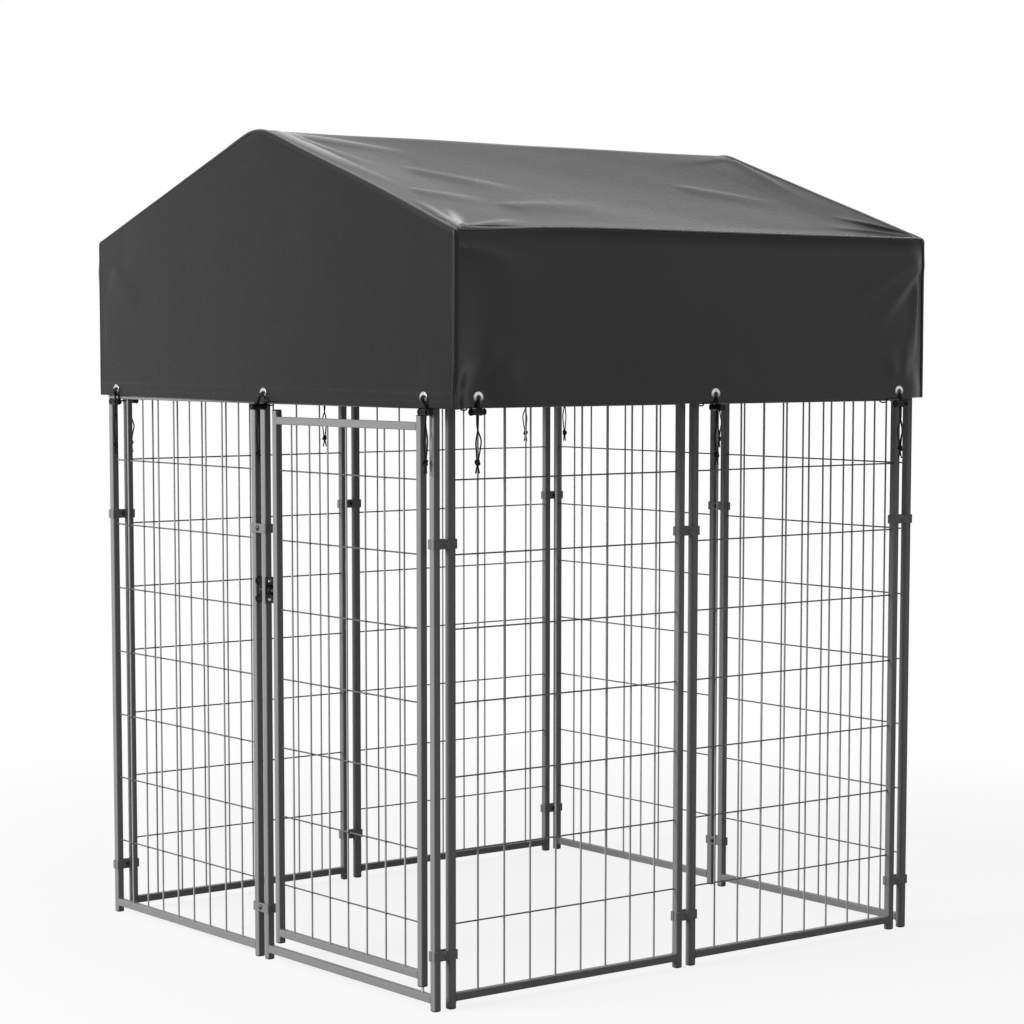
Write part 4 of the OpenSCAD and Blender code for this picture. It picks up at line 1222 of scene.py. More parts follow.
    def hem_drop(self, points: Array) -> Array:
        """How far the hem hangs below its level: low at the front right corner, high at the next two.

        The eyelets hold it up, so that it stays clear of the cord locks under them.

        Args:
            points: rows of (x, y, z) on the taut shape.

        Returns:
            One drop for each point.
        """
        x, y, z = points.T
        low = self.hem_low * bell(self.from_corner(points, 1.0, -1.0), self.hem_low_reach)
        low *= 1.0 - 0.6 * self.hold(points)
        wave = self.hem_wave * np.sin(9.0 * (x + y) + 0.5) * np.sin(4.0 * (x - y))
        rise = self.hem_high[0] * bell(self.from_corner(points, -1.0, -1.0), self.hem_high_reach[0])
        rise += self.hem_high[1] * bell(self.from_corner(points, 1.0, 1.0), self.hem_high_reach[1])
        fade = ramp(z, self.sizes.hem_z + self.hem_fade, -self.hem_fade) ** 2
        return fade * (low + wave - rise)

    def skew(self, points: Array) -> Array:
        """Sideways shift of the cloth, which was pulled on a little askew.

        Args:
            points: rows of (x, y, z) on the taut shape.

        Returns:
            A shift along X that grows from the ridge to the eaves and from the hem up, to the right
            in front and to the left behind, and a flare of the hem's four corners.
        """
        sz = self.sizes
        x, y, z = points.T
        ahead = -y / sz.half_length
        eave_z = (sz.slope_offset - math.sin(sz.pitch) * sz.half_width) / math.cos(sz.pitch)
        rise = ease(ramp(z, sz.hem_z, eave_z - sz.hem_z))
        wide = ramp(np.abs(x), 0.0, sz.half_width)
        ends = bell((sz.half_length - np.abs(y)) ** 2, self.flare_reach)
        spread = self.flare * ends * (1.0 - rise) * wide ** 4
        return ahead * (self.askew * rise * (0.5 + 0.5 * wide) + spread)

    def slack(self, points: Array) -> Array:
        """Shift of the slack front right corner.

        Args:
            points: rows of (x, y, z) on the taut shape.

        Returns:
            A pull outward and back over the whole height and a droop at the eave, each a bell in plan.
        """
        far = self.from_corner(points, 1.0, -1.0)
        out, back = (pull * bell(far, reach) for pull, reach in zip(self.corner_pull, self.pull_reach))
        high = ramp(points[:, 2], self.sizes.hem_z, self.droop_rise)
        return np.stack([out, back, -self.corner_droop * bell(far, self.droop_reach) * high], axis=1)

    def settle(self, points: Array, normals: Array, proud: Array | float = 0.0) -> Array:
        """Moves points of the taut shape to where the cloth hangs, plus a step along the normal.

        Args:
            points: rows of (x, y, z) on the taut shape.
            normals: outward directions there.
            proud: the step, one for all or one for each point.

        Returns:
            The moved points.
        """
        drift = self.slack(points)
        drift[:, 0] += self.skew(points)
        drift -= (self.hold(points) * np.sum(drift * normals, axis=1))[:, None] * normals
        moved = points + drift + (self.lift(points, normals) + proud)[:, None] * normals
        moved[:, 2] -= self.hem_drop(points)
        return moved

    def hold(self, points: Array) -> Array:
        """How firmly an eyelet holds the cloth in its plane: 1 at it, falling smoothly to 0 round it."""
        near = np.min([np.linalg.norm(points - spot, axis=1) for spot in self.eyelets], axis=0)
        return ease(ramp(near, self.hold_reach, -self.hold_fall))

    def sweep(self, line: Array, normal: Array, y: Array, reach: Array,
              turn: Array) -> tuple[Array, Array]:
        """Sweeps a profile along Y, with a turn on to the gables.

        Args:
            line: points (x, z) of the profile.
            normal: its outward normals.
            y: place of each step along Y.
            reach: distance of each step outside the line on which the turns are centred.
            turn: angle of each step's normal from the profile's normal towards +Y.

        Returns:
            Points and outward directions, row by row of the profile.
        """
        grid = np.empty((len(line), len(y), 3))
        grid[..., [0, 2]] = (line - self.edge_r * normal)[:, None] + reach[:, None] * normal[:, None]
        grid[..., 1] = y
        face = np.empty_like(grid)
        face[..., [0, 2]] = np.cos(turn)[:, None] * normal[:, None]
        face[..., 1] = np.sin(turn)
        return grid.reshape(-1, 3), face.reshape(-1, 3)

    def half_arrays(self, side: float) -> tuple[Array, Array, Array, Array]:
        """Points, quads, UV and painted crest highlights of the cloth from one hem to the ridge.

        The profile is swept along Y with a quarter turn on to each gable.

        Args:
            side: 1 for the right half, -1 for the left.

        Returns:
            Points, quads, UV and one value for each point, the weight of the painted highlight, 1 on a
            crest.
        """
        line, normal = self.profile((self.rows_skirt, self.rows_eave, self.rows_slope, self.rows_ridge))
        middle = len(line) // 2
        part = slice(0, middle + 1) if side > 0 else slice(middle, None)
        line, normal = line[part], normal[part]
        place, turn = self.edge_path()
        points, normals = self.sweep(line, normal, place + self.edge_r * np.sin(turn),
                                     self.edge_r * np.cos(turn), turn)
        quads = grid_quads(len(line), len(place))
        uv = grid_uv(lengths_along(line), place + self.edge_r * turn, quads)
        painted_highlight = sum(fold.shine * shape for fold, shape in self.each_fold(points, normals))
        return self.settle(points, normals), quads, uv, np.clip(painted_highlight, 0.0, 1.0)

    def gable_arrays(self, side: float) -> Grid:
        """Points, quads and UV of one gable: columns that hang from the edge of the slopes to the hem.

        Args:
            side: -1 for the front gable, 1 for the rear.

        Returns:
            Points, quads and UV.
        """
        sz, k = self.sizes, self.rows_skirt
        line, normal = self.profile((k, self.rows_eave, self.rows_slope, self.rows_ridge))
        edge = (line - self.edge_r * normal)[k:len(line) - k]
        share = np.linspace(0.0, 1.0, k + 1)
        fill = np.empty((len(edge), k + 1, 3))
        fill[..., 0] = edge[:, None, 0]
        fill[..., 1] = side * sz.half_length
        fill[..., 2] = sz.hem_z + share * (edge[:, None, 1] - sz.hem_z)
        points = fill.reshape(-1, 3)
        quads = grid_quads(len(edge), k + 1)
        quads = quads if side < 0 else quads[:, ::-1]
        normals = np.tile([0.0, side, 0.0], (len(points), 1))
        return self.settle(points, normals), quads, points[quads][..., [0, 2]]

    def binding_arrays(self, side: float) -> Grid:
        """Points, quads and UV of the tape sewn over the edge between one gable and the rest of the cover.

        Its section lies on the cloth and stands a little proud, with a round cord along its upper border.

        Args:
            side: -1 for the front gable, 1 for the rear.

        Returns:
            Points, quads and UV.
        """
        line, normal = self.profile((60, 6, 130, 12))
        arc, cord_w = self.edge_r * math.pi / 2, 2 * self.tape_cord_r
        width = self.tape_over + arc + self.tape_face
        w = np.concatenate([np.linspace(0.0, cord_w, 11), np.linspace(0.0046, width - 0.0036, 12),
                            np.linspace(width - 0.003, width, 7)])
        turn = np.clip((w - self.tape_over) / self.edge_r, 0.0, math.pi / 2)
        before = np.clip(self.tape_over - w, 0.0, None)
        after = np.clip(w - self.tape_over - arc, 0.0, None)
        out = self.sizes.half_length - self.edge_r + self.edge_r * np.sin(turn) - before
        points, normals = self.sweep(line, normal, side * out, self.edge_r * np.cos(turn) - after,
                                     side * turn)
        cord = np.sqrt(np.clip(1 - (w / self.tape_cord_r - 1) ** 2, 0, 1))
        tape = np.clip(np.minimum(w - 0.003, width - w) / 0.0008, 0.0, 1.0)
        proud = np.maximum(self.tape_cord_proud * cord, self.tape_proud * tape) - self.tape_sunk
        quads = grid_quads(len(line), len(w))
        quads = quads[:, ::-1] if side < 0 else quads
        uv = grid_uv(lengths_along(line), w, quads)
        return self.settle(points, normals, np.tile(proud, len(line))), quads, uv

    def eave_arrays(self, side: float) -> Grid:
        """Points, quads and UV of the piping along one eave: a half round strip between flat flanges.

        The upper flange is the wider one and tapers towards its ends.

        Args:
            side: 1 for the right eave, -1 for the left.

        Returns:
            Points, quads and UV.
        """
        sz, rows_skirt = self.sizes, 200
        line, normal = self.profile((rows_skirt, 40, 200, 8))
        steps = lengths_along(line)
        middle = steps[rows_skirt] + self.eave_r * (math.pi / 2 - sz.pitch) * self.pipe_at
        y = np.linspace(-1.0, 1.0, 190)[:, None] * (sz.half_length - self.edge_r - 0.006)
        start, length = self.flange_taper
        taper = np.maximum(ramp(np.abs(y), sz.half_length - start, -length), self.flange_least)
        low, high = self.pipe_flange
        base = np.concatenate([np.linspace(-low, self.pipe_flat, 27), np.linspace(0.005, high, 6)])
        w = np.minimum(base, self.pipe_flat) + taper * np.clip(base - self.pipe_flat, 0.0, None)
        grid, face = np.empty((*w.shape, 3)), np.zeros((*w.shape, 3))
        grid[..., 1] = y
        for axis, column, sign in ((0, 0, side), (2, 1, 1.0)):
            grid[..., axis] = sign * np.interp(middle + w, steps, line[:, column])
            face[..., axis] = sign * np.interp(middle + w, steps, normal[:, column])
        pipe = np.sqrt(np.clip(1 - (w / self.pipe_r) ** 2, 0, 1))
        flange = np.clip(np.minimum(base + low, high - base) / 0.001, 0.0, 1.0)
        proud = np.maximum(self.flange_proud * flange, self.pipe_proud * pipe) - self.pipe_sunk
        points = self.settle(grid.reshape(-1, 3), face.reshape(-1, 3), proud.ravel())
        quads = grid_quads(*w.shape)
        quads = quads[:, ::-1] if side > 0 else quads
        uv = np.stack([np.broadcast_to(y, w.shape), np.abs(w) + 0.0016], axis=-1)
        return points, quads, uv.reshape(-1, 2)[quads]

    def hem_arrays(self) -> Grid:
        """Points, quads and UV of the turned hem: a closed band round the foot of the cover.

        Its path is a rectangle with rounded corners, and its section wraps from the upper border outside,
        under the edge, to the upper border inside.

        Returns:
            Points, quads and UV.
        """
        sz, r = self.sizes, self.edge_r
        a, b = sz.half_width - r, sz.half_length - r
        quarter = np.linspace(0.0, math.pi / 2, 9)
        corners = []
        for i, (cx, cy) in enumerate(((a, -b), (a, b), (-a, b), (-a, -b))):
            w = quarter + (i - 1) * math.pi / 2
            corners.append(np.stack([cx + r * np.cos(w), cy + r * np.sin(w), np.cos(w), np.sin(w)], axis=1))
        t = np.linspace(0.0, 1.0, 220, endpoint=False)[1:, None]
        rows = []
        for here, there in zip(corners, corners[1:] + corners[:1]):
            rows += [here, here[-1] + t * (there[0] - here[-1])]
        path = np.concatenate(rows)
        up = np.array([0.0330, 0.0322, 0.0310, 0.024, 0.016, 0.008, 0.001, -0.0007, -0.0007, 0.001, 0.012,
                       0.024, 0.032])
        out = np.array([-0.0001, 0.0002, 0.0003, 0.0004, 0.0004, 0.0004, 0.0004, 0.0001, -0.0016, -0.0022,
                        -0.0022, -0.0022, -0.0013])
        grid = np.empty((len(path), len(up), 3))
        grid[..., :2] = path[:, None, :2]
        grid[..., 2] = sz.hem_z + np.clip(up, 0.0, None)
        face = np.zeros_like(grid)
        face[..., :2] = path[:, None, 2:]
        points = self.settle(grid.reshape(-1, 3), face.reshape(-1, 3), np.tile(out, len(path)))
        points = points.reshape(grid.shape)
        points[..., 2] += np.clip(up, None, 0.0)
        points = np.concatenate([points, points[:1]])
        quads = grid_quads(len(points), len(up))
        section = lengths_along(np.stack([up, out], axis=1))
        return points.reshape(-1, 3), quads, grid_uv(lengths_along(points[:, 0]), section, quads)

    def build(self, finishes: Finishes) -> None:
        """Args:
            finishes: the finishes.
        """
        panels = [("cover_cloth_right", self.half_arrays(1.0), "black_cover_cloth"),
                  ("cover_cloth_left", self.half_arrays(-1.0), "black_cover_cloth"),
                  ("cover_gable_cloth_front", self.gable_arrays(-1.0), "black_cover_gable"),
                  ("cover_gable_cloth_rear", self.gable_arrays(1.0), "black_cover_gable")]
        trims = [("cover_hem", self.hem_arrays(), "black_cover_hem"),
                 ("cover_binding_front", self.binding_arrays(-1.0), "black_cover_binding"),
                 ("cover_binding_rear", self.binding_arrays(1.0), "black_cover_binding"),
                 ("cover_eave_seam_right", self.eave_arrays(1.0), "black_cover_eave"),
                 ("cover_eave_seam_left", self.eave_arrays(-1.0), "black_cover_eave")]
        made = {}
        for name, arrays, finish in panels + trims:
            made[name] = mesh_piece(name, *arrays)
            attach(made[name], finishes[finish], ROOT)
        for name, _, _ in panels:
            area = float(sum(face.area for face in made[name].data.polygons))
            LOG.info("%s: %.3f square metres of cloth", name, area)
            thick = made[name].modifiers.new("cloth_thickness", "SOLIDIFY")
            thick.thickness = self.sizes.cloth
            thick.offset = -1.0
        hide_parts("cover_slope_right", "cover_slope_left", "cover_skirt_right",
                    "cover_skirt_left", "cover_gable_front", "cover_gable_rear")


# Ties


@dataclass(frozen=True)
class TieSizes:
    """Sizes of the elastic ties: the cord, rail, eyelet, lock and knot places are those of the solids."""

    cord_d: float = 0.003
    strand: float = 0.0019
    wrap: float = 0.0113
    hang: float = 0.003
    rail_z: float = 1.18925
    eyelet_z: float = 1.203
    lock_z: float = 1.176
    lock_r: float = 0.0065
    lock_back: float = 0.02855
    knot_drop: float = 0.086
    knot_h: float = 0.010
    knot_r: float = 0.0044
    knot_rise: float = 0.0042
    knot_cord_r: float = 0.0018
    tail: float = 0.018
    tail_top: float = 0.003
    tail_gap: float = 0.0012
    tail_spread: float = 0.0032
    tail_wave: float = 0.0006
    turn_r: float = 0.008
    turn_out: float = 0.0015
    turn_drop: float = 0.003
    dips: tuple[float, float, float] = (0.004, 0.001, 0.005)
    lock_lead: float = 0.006
    lock_trail: float = 0.008
    crossing: float = 0.0017
    route_step: float = 0.0012
    route_passes: int = 40

    @property
    def knot_z(self) -> float:
        """Height of the top of a knot."""
        return self.lock_z - self.lock_r - self.knot_drop


@dataclass(frozen=True)
class Tie:
    """One elastic tie: its place on a wall and how its strands hang."""

    wall: Wall
    label: str
    along: float
    shift: float
    end_on: bool
    bow: tuple[float, float]
    face: float
    sizes: TieSizes = TieSizes()

    @property
    def lock_out(self) -> float:
        """Distance of the cord lock outside the wall."""
        sz = self.sizes
        near = self.face + sz.hang
        return max(near + sz.strand, sz.lock_back) if self.end_on else near

    @property
    def eyelet(self) -> Array:
        """Middle of the tie's eyelet in the model's frame."""
        return self.wall.to_world(np.array([self.along, self.face, self.sizes.eyelet_z]))

    def turn(self, u: float) -> list[list[float]]:
        """Corners of the under strand at the eyelet: a half circle where the cloth is close to the rail.

        Args:
            u: place of the strand along the wall.

        Returns:
            Rows of (along the wall, outward, height).
        """
        sz = self.sizes
        if self.face > 2 * sz.wrap:
            places = (sz.wrap, self.face, self.face + sz.hang)
            return [[u, out, sz.eyelet_z - dip] for out, dip in zip(places, sz.dips)]
        t = np.linspace(math.pi, 0.0, 9)
        out = self.face + sz.turn_out + sz.turn_r * np.cos(t)
        up = sz.eyelet_z - sz.turn_drop + sz.turn_r * np.sin(t)
        return np.stack([np.full_like(t, u), out, up], axis=1).tolist()

    def strand_route(self, side: int) -> Array:
        """Route of one strand from the back of the rail through eyelet and lock to the knot.

        Args:
            side: -1 for the strand that goes over the rail, 1 for the one that goes under it.

        Returns:
            Rows of (x, y, z) along the rounded route.
        """
        sz, a, b = self.sizes, self.along, self.along + self.shift
        out, far = self.face + sz.hang, self.lock_out
        da, dn = (0.0, sz.strand) if self.end_on else (sz.strand, 0.0)
        u = a + side * sz.strand
        back = [[a, -sz.wrap, sz.rail_z]]
        if side < 0:
            back += [[u, -sz.wrap, sz.rail_z + sz.wrap], [u, self.face, sz.eyelet_z],
                     [u, out, sz.eyelet_z - sz.turn_drop]]
        else:
            back += [[u, -sz.wrap, sz.rail_z - sz.wrap], [u, sz.wrap, sz.rail_z - sz.wrap]]
            back += self.turn(u)
        lock = [[b + side * da, far + side * dn, sz.lock_z + sz.lock_r + sz.lock_lead],
                [b + side * da, far + side * dn, sz.lock_z - sz.lock_r - sz.lock_trail]]
        bow = self.bow[0] if side < 0 else self.bow[1]
        widest, left = (0.44, 0.5) if side < 0 else (0.39, 1 / 3)
        hang = [[b, far + side * sz.crossing, sz.knot_z + sz.knot_drop * 0.70],
                [b - side * (sz.strand + bow), far, sz.knot_z + sz.knot_drop * widest],
                [b - side * (sz.strand + bow * left), far, sz.knot_z + sz.knot_drop / 5],
                [b - side * sz.strand, far, sz.knot_z]]
        route = self.wall.to_world(np.array(back + lock + hang))
        return smooth_route(route, sz.route_step, sz.route_passes)

    def knot_arrays(self) -> Grid:
        """Points, quads and UV of the knot and its two loose ends.

        The knot is a tube along a trefoil, drawn tight, and each loose end a tube along a short curve.

        Returns:
            Points, quads and UV.
        """
        sz = self.sizes
        t = np.linspace(0.0, 2 * math.pi, 72)
        outward = np.stack([np.cos(2 * t), np.sin(2 * t), 0 * t], axis=1)
        trefoil = (sz.knot_r * (2.0 + np.cos(3 * t)) / 3.0)[:, None] * outward
        trefoil[:, 2] = sz.knot_rise * np.sin(3 * t)
        parts = [tube_grid(trefoil, sz.knot_cord_r, outward, capped=False)]
        s = np.linspace(0.0, 1.0, 14)
        for side in (-1.0, 1.0):
            lean = side * (sz.tail_gap + sz.tail_spread * s ** 1.6)
            wave = sz.tail_wave * np.sin(3 * s + side)
            end = np.stack([lean, wave, -sz.tail_top - sz.tail * s], axis=1)
            taper = sz.cord_d / 2 * np.where(s > 0.96, 0.82, 1.0)
            parts.append(tube_grid(end, taper, np.array([0.0, 1.0, 0.0])))
        points, quads, uv = join_grids(parts)
        local = np.stack([points[:, 0] + self.along + self.shift, -points[:, 1] + self.lock_out,
                          points[:, 2] + sz.knot_z - sz.knot_h / 2], axis=1)
        return self.wall.to_world(local), quads, uv


@dataclass
class Ties:
    """All the elastic ties of the cover."""

    roof: RoofSizes
    gable: tuple[tuple, ...] = (("left", -0.572, 0.0, False, (0.005, 0.009)),
                                ("mid", 0.034, 0.0, True, (0.004, 0.007)),
                                ("right", 0.598, 0.010, False, (0.006, 0.004)))
    side: tuple[tuple, ...] = (("left", -0.582, -0.004, False, (0.008, 0.003)),
                               ("mid", 0.034, 0.0, True, (0.006, 0.005)),
                               ("right", 0.572, 0.003, False, (0.004, 0.008)))

    def all(self) -> list[Tie]:
        """Every tie, wall by wall.

        Returns:
            The twelve ties.
        """
        made = []
        for wall in Wall:
            face = (self.roof.half_length if wall.is_gable else self.roof.half_width) - wall.distance
            for label, along, shift, end_on, bow in self.gable if wall.is_gable else self.side:
                made.append(Tie(wall, f"{wall.label}_{label}", along, shift, end_on, bow, face))
        return made

    def build(self, finishes: Finishes) -> None:
        """Makes the strands and knots.

        Args:
            finishes: the finishes.
        """
        ties, cord = self.all(), finishes["black_elastic_cord"]
        knots, strands = [], []
        for tie in ties:
            knots.append(mesh_piece(f"tie_knot_{tie.label}", *tie.knot_arrays()))
            attach(knots[-1], cord, ROOT)
            for label, side in (("over", -1), ("under", 1)):
                route = tie.strand_route(side)
                tube = tube_grid(route, tie.sizes.cord_d / 2, tie.wall.run)
                strands.append(mesh_piece(f"tie_{tie.label}_{label}", *tube))
                attach(strands[-1], cord, ROOT)
                length = float(lengths_along(route)[-1])
        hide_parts("tie_cords")
        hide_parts("tie_knots")
        LOG.info("ties: %d", len(ties))


# Welds


@dataclass
class Welds:
    """Weld beads in the corners of the tube frames and weld nuggets where the wires meet."""

    pen: PenSizes
    nugget_size: tuple[float, float, float] = (0.0024, 0.0010, 0.0022)
    nugget_sink: float = 0.0002
    bead_half: float = 0.0070
    bead_r: float = 0.0016
    bead_gap: float = 0.0004
    ripple: float = 0.08

    def nugget(self, sides: int = 8, rings: int = 5) -> Grid:
        """A small flattened ball: an ellipsoid on a grid of latitude and longitude.

        Args:
            sides: points in a ring, an even number.
            rings: number of rings.

        Returns:
            Points, quads and UV.
        """
        turn = np.linspace(0.0, 2 * math.pi, sides, endpoint=False)
        lat, lon = np.meshgrid(np.linspace(-1.35, 1.35, rings), turn, indexing="ij")
        ball = np.stack([np.cos(lat) * np.cos(lon), np.cos(lat) * np.sin(lon), np.sin(lat)], axis=-1)
        cap = cap_quads(sides)
        quads = np.concatenate([grid_quads(rings, sides, wrap_cols=True), cap[:, ::-1],
                                cap + (rings - 1) * sides])
        return ball.reshape(-1, 3) * np.array(self.nugget_size), quads, np.zeros((len(quads), 4, 2))

    def bead(self, seed: float) -> Grid:
        """A short fillet along local Y: a round bar whose radius ripples as a hand weld does.

        Args:
            seed: phase of the ripple.

        Returns:
            Points, quads and UV.
        """
        t = np.linspace(-1.0, 1.0, 25)
        route = np.stack([0 * t, self.bead_half * t, 0 * t], axis=1)
        ripple = 1.0 + self.ripple * np.sin(26.0 * t + seed)
        radius = self.bead_r * np.sqrt(np.clip(1.02 - t ** 6, 0.02, 1.0)) * ripple
        return tube_grid(route, radius, np.array([0.0, 0.0, 1.0]), 10)

    def frame_beads(self, reach: float, low: float, high: float) -> Array:
        """Places of the beads of one frame, as rows of (along, height), at the inside of each corner.

        Args:
            reach: distance of a post from the frame's middle.
            low: height of the lower rail.
            high: height of the upper rail.

        Returns:
            Two places at each corner.
        """
        off = self.pen.half + self.bead_gap
        return np.array([(side * (reach - off), z + up * off)
                         for side in (-1, 1) for z in (low, high) for up in (-1, 1)])

    def grille_spots(self, count: int) -> Array:
        """Places of the crossings of one grille, as rows of (along, height).

        Args:
            count: number of upright wires.

        Returns:
            One place for each crossing.
        """
        pen = self.pen
        u = (np.arange(count) - (count - 1) / 2) * pen.pitch_up
        z = pen.rail_low_z + np.arange(1, pen.wires_cross + 1) * pen.pitch_cross
        return np.stack(np.meshgrid(u, z, indexing="ij"), axis=-1).reshape(-1, 2)

    def place(self, shape: Grid, wall: Wall, middle: float, spots: Array,
              out: float) -> Grid:
        """Copies a shape to places on a wall, as whole arrays.

        Args:
            shape: points, quads and UV of one copy.
            wall: the wall.
            middle: place of the panel's middle along the wall.
            spots: rows of (along, height) from the panel's middle.
            out: distance outside the wall's own plane.

        Returns:
            Points, quads and UV of all the copies.
        """
        points, quads, uv = shape
        at = np.stack([spots[:, 0] + middle, np.full(len(spots), out), spots[:, 1]], axis=1)
        copies = (at[:, None, :] + points[None]).reshape(-1, 3)
        shifts = (np.arange(len(spots)) * len(points))[:, None, None]
        corners = (quads[None] + shifts).reshape(-1, 4)[:, ::-1]
        return wall.to_world(copies), corners, np.tile(uv[:, ::-1], (len(spots), 1, 1))

    def build(self, finishes: Finishes) -> None:
        """Makes the welds of the fixed panels and of the door leaf, each set on its own body.

        Args:
            finishes: the finishes.
        """
        pen = self.pen
        cross_out = -((pen.wire_up_d - pen.weld_sink) / 2 - pen.wire_cross_d / 2 - self.nugget_sink)
        nugget = self.nugget()
        sets: dict[str, list] = {ROOT: [], LEAF: []}
        for i, wall in enumerate(Wall):
            for side in (-1, 1):
                middle = side * pen.panel_step
                spots = self.frame_beads(pen.post_reach, pen.rail_low_z, pen.rail_high_z)
                sets[ROOT].append(self.place(self.bead(i + 0.4 * side), wall, middle, spots, 0.0))
                if (wall, side) != (Wall.FRONT, 1):
                    spots = self.grille_spots(pen.wires_up)
                    sets[ROOT].append(self.place(nugget, wall, middle, spots, cross_out))
        low, high = pen.rail_low_z + pen.leaf_rail_drop, pen.rail_high_z - pen.leaf_rail_drop
        sets[LEAF].append(self.place(self.bead(2.2), Wall.FRONT, pen.panel_step,
                                     self.frame_beads(pen.leaf_reach, low, high), 0.0))
        sets[LEAF].append(self.place(nugget, Wall.FRONT, pen.panel_step,
                                     self.grille_spots(pen.leaf_wires_up), cross_out))
        for body, parts in sets.items():
            piece = mesh_piece(f"welds_{body}", *join_grids(parts))
            attach(piece, finishes["weld_bead"], body)
            LOG.info("welds on %s: %d", body, len(parts))


# Rigid parts


@dataclass
class RigidParts:
    """The solids that stay as they are and take a finish each."""

    nodes: dict[str, bpy.types.Object]
    by_slot: dict[str, str] = field(default_factory=lambda: {
        "powder_coat": "grey_powder_coat", "clamp_coat": "grey_clamp_coat",
        "latch_coat": "black_powder_coat", "bolt_coat": "black_steel", "zinc_steel": "zinc_plate",
        "eyelet_metal": "eyelet_nickel", "black_plastic": "black_moulding",
        "cover_cloth": "black_cover_cloth", "elastic_cord": "black_elastic_cord"})

    def build(self, record: dict, finishes: Finishes) -> None:
        """Gives every solid the finish of its material slot.

        Args:
            record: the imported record.
            finishes: the finishes.
        """
        for part in record["subparts"]:
            wire = part["node"].endswith("_mesh")
            name = "wire_coat_painted_light_and_shade" if wire else self.by_slot[part["material_slot"]]
            dress(self.nodes[part["node"]], finishes[name])
        LOG.info("rigid parts: %d", len(record["subparts"]))


# Studio


@dataclass(frozen=True)
class SoftBox:
    """A rectangular lamp that looks at a point."""

    name: str
    place: tuple[float, float, float]
    target: tuple[float, float, float]
    size: tuple[float, float]
    power: float

    def build(self) -> None:
        """Adds the lamp."""
        data = bpy.data.lights.new(self.name, "AREA")
        data.shape, data.size, data.size_y, data.energy = "RECTANGLE", *self.size, self.power
        lamp = bpy.data.objects.new(self.name, data)
        bpy.context.scene.collection.objects.link(lamp)
        aim = (Vector(self.target) - Vector(self.place)).to_track_quat("-Z", "Y")
        lamp.matrix_world = Matrix.Translation(self.place) @ aim.to_matrix().to_4x4()


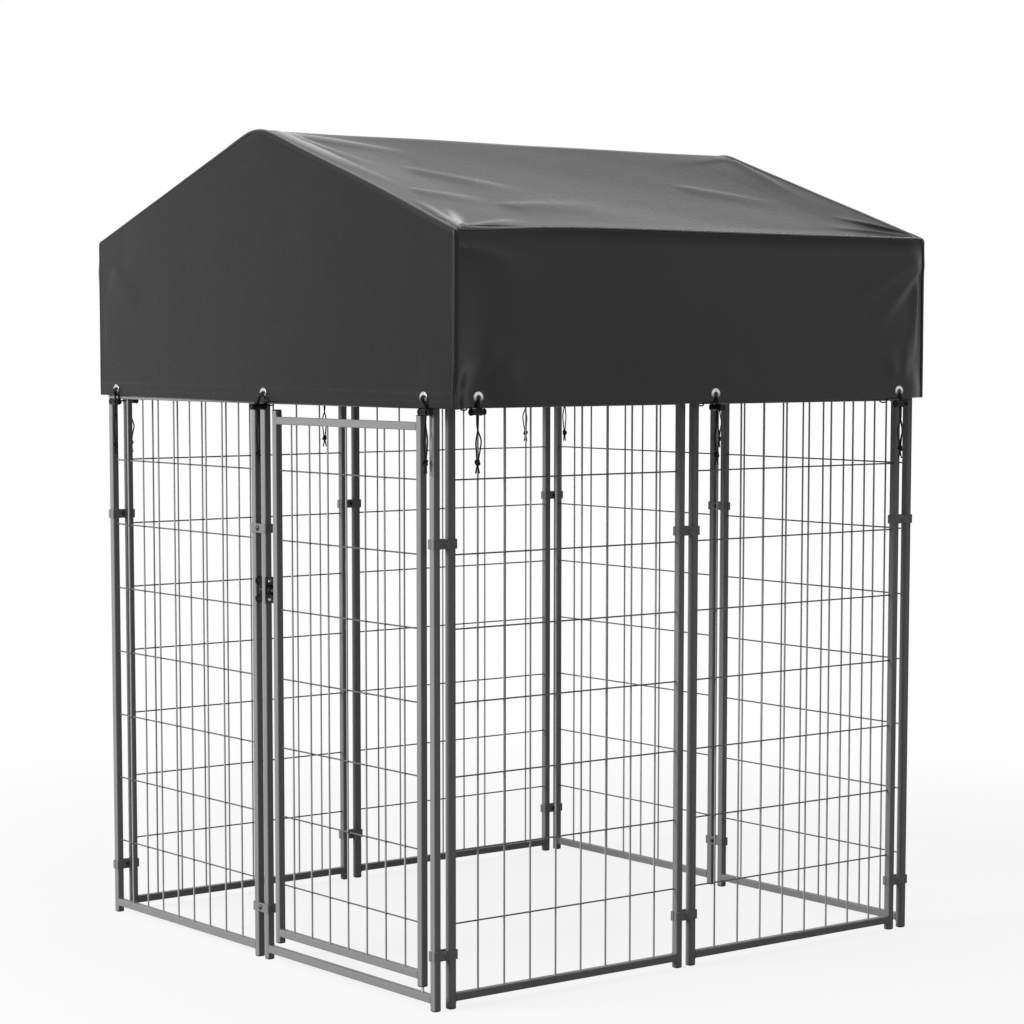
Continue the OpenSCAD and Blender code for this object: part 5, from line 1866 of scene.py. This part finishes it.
@dataclass
class Studio:
    """Pale floor, soft light and the camera."""

    eye: tuple[float, float, float] = (4.932, -3.850, 1.311)
    azimuth: float = 52.28
    elevation: float = 5.42
    lens: float = 97.9
    shift: tuple[float, float] = (0.0191, 0.0915)
    floor_near: float = 1.6
    floor_far: float = 3.0
    floor_white: float = 0.84
    floor_bounce: float = 0.28
    floor_seen: float = 0.9
    floor_half: float = 40.0
    world_bounce: float = 0.07
    boxes: tuple[SoftBox, ...] = (
        SoftBox("key_box", (-1.6, -6.4, 3.4), (0.0, 0.0, 0.8), (3.4, 3.0), 480.0),
        SoftBox("top_box", (0.4, 0.2, 5.4), (0.0, 0.0, 1.0), (3.6, 3.6), 120.0),
        SoftBox("side_box", (5.6, 1.5, 2.6), (0.0, 0.0, 1.0), (1.6, 1.6), 8.0),
        SoftBox("left_box", (-5.5, -1.6, 1.5), (0.0, -0.6, 1.3), (2.0, 2.0), 17.0),
        SoftBox("rim_box", (-4.3, 4.5, 3.0), (0.0, 0.0, 1.5), (1.6, 1.4), 4.5),
    )

    def build_camera(self) -> None:
        """Adds the camera at the measured place, angle and lens."""
        a, e = math.radians(self.azimuth), math.radians(self.elevation)
        back = Vector((math.sin(a) * math.cos(e), -math.cos(a) * math.cos(e), math.sin(e)))
        data = bpy.data.cameras.new("photo_camera")
        data.sensor_width, data.lens = 36.0, self.lens
        data.shift_x, data.shift_y = self.shift
        data.clip_start, data.clip_end = 0.05, 200.0
        camera = bpy.data.objects.new("photo_camera", data)
        bpy.context.scene.collection.objects.link(camera)
        aim = (-back).to_track_quat("-Z", "Y")
        camera.matrix_world = Matrix.Translation(self.eye) @ aim.to_matrix().to_4x4()
        bpy.context.scene.camera = camera

    def build_floor(self) -> None:
        """Adds a wide pale floor that keeps the shadow near the feet and shows plain white far off."""
        span = self.floor_half * np.array([[-1, -1, 0], [1, -1, 0], [1, 1, 0], [-1, 1, 0]])
        floor = mesh_piece("studio_floor", span, np.array([[0, 1, 2, 3]]))
        material, graph, shader = new_material("studio_floor")
        place = graph.add("ShaderNodeTexCoord").outputs["Object"]
        away = graph.add("ShaderNodeVectorMath", {0: place}, operation="LENGTH").outputs["Value"]
        far = graph.remap(away, self.floor_near, self.floor_far, self.floor_white, 1.0)
        seen = graph.seen()
        tone = graph.remap(seen, 0.0, 1.0, self.floor_bounce, self.floor_seen)
        graph.feed(shader, {"Base Color": graph.grey(tone), "Roughness": 0.9, "Specular IOR Level": 0.1})
        white = graph.add("ShaderNodeEmission", {"Color": WHITE, "Strength": 1.0}).outputs[0]
        blend = graph.add("ShaderNodeMixShader", {0: graph.maths("MULTIPLY", far, seen),
                                                  1: shader.outputs[0], 2: white})
        graph.feed(material.node_tree.nodes["Material Output"], {"Surface": blend.outputs[0]})
        dress(floor, material)

    def build_world(self) -> None:
        """White surroundings for the camera and reflections, and a plain level of light for the rest."""
        world = bpy.data.worlds.new("studio_world")
        bpy.context.scene.world = world
        world.use_nodes = True
        graph = Graph(world.node_tree)
        strength = graph.remap(graph.seen(), 0.0, 1.0, self.world_bounce, 1.0)
        graph.feed(world.node_tree.nodes["Background"], {0: WHITE, 1: strength})

    def build(self) -> None:
        """Sets the stage."""
        self.build_floor()
        self.build_world()
        for box in self.boxes:
            box.build()
        bpy.context.scene.view_settings.view_transform = "Standard"


def main() -> None:
    """Builds the object in order: camera, ties, cover, welds, finishes, studio."""
    logging.basicConfig(level=logging.INFO, format="%(name)s: %(message)s")
    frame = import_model()
    studio = Studio()
    studio.build_camera()
    finishes = Finishes()
    roof = RoofSizes()
    ties = Ties(roof)
    ties.build(finishes)
    RigidParts(frame["nodes"]).build(frame["record"], finishes)
    RoofCover(roof, eyelets=[tie.eyelet for tie in ties.all()]).build(finishes)
    Welds(PenSizes()).build(finishes)
    studio.build()


if __name__ == "__main__":
    main()
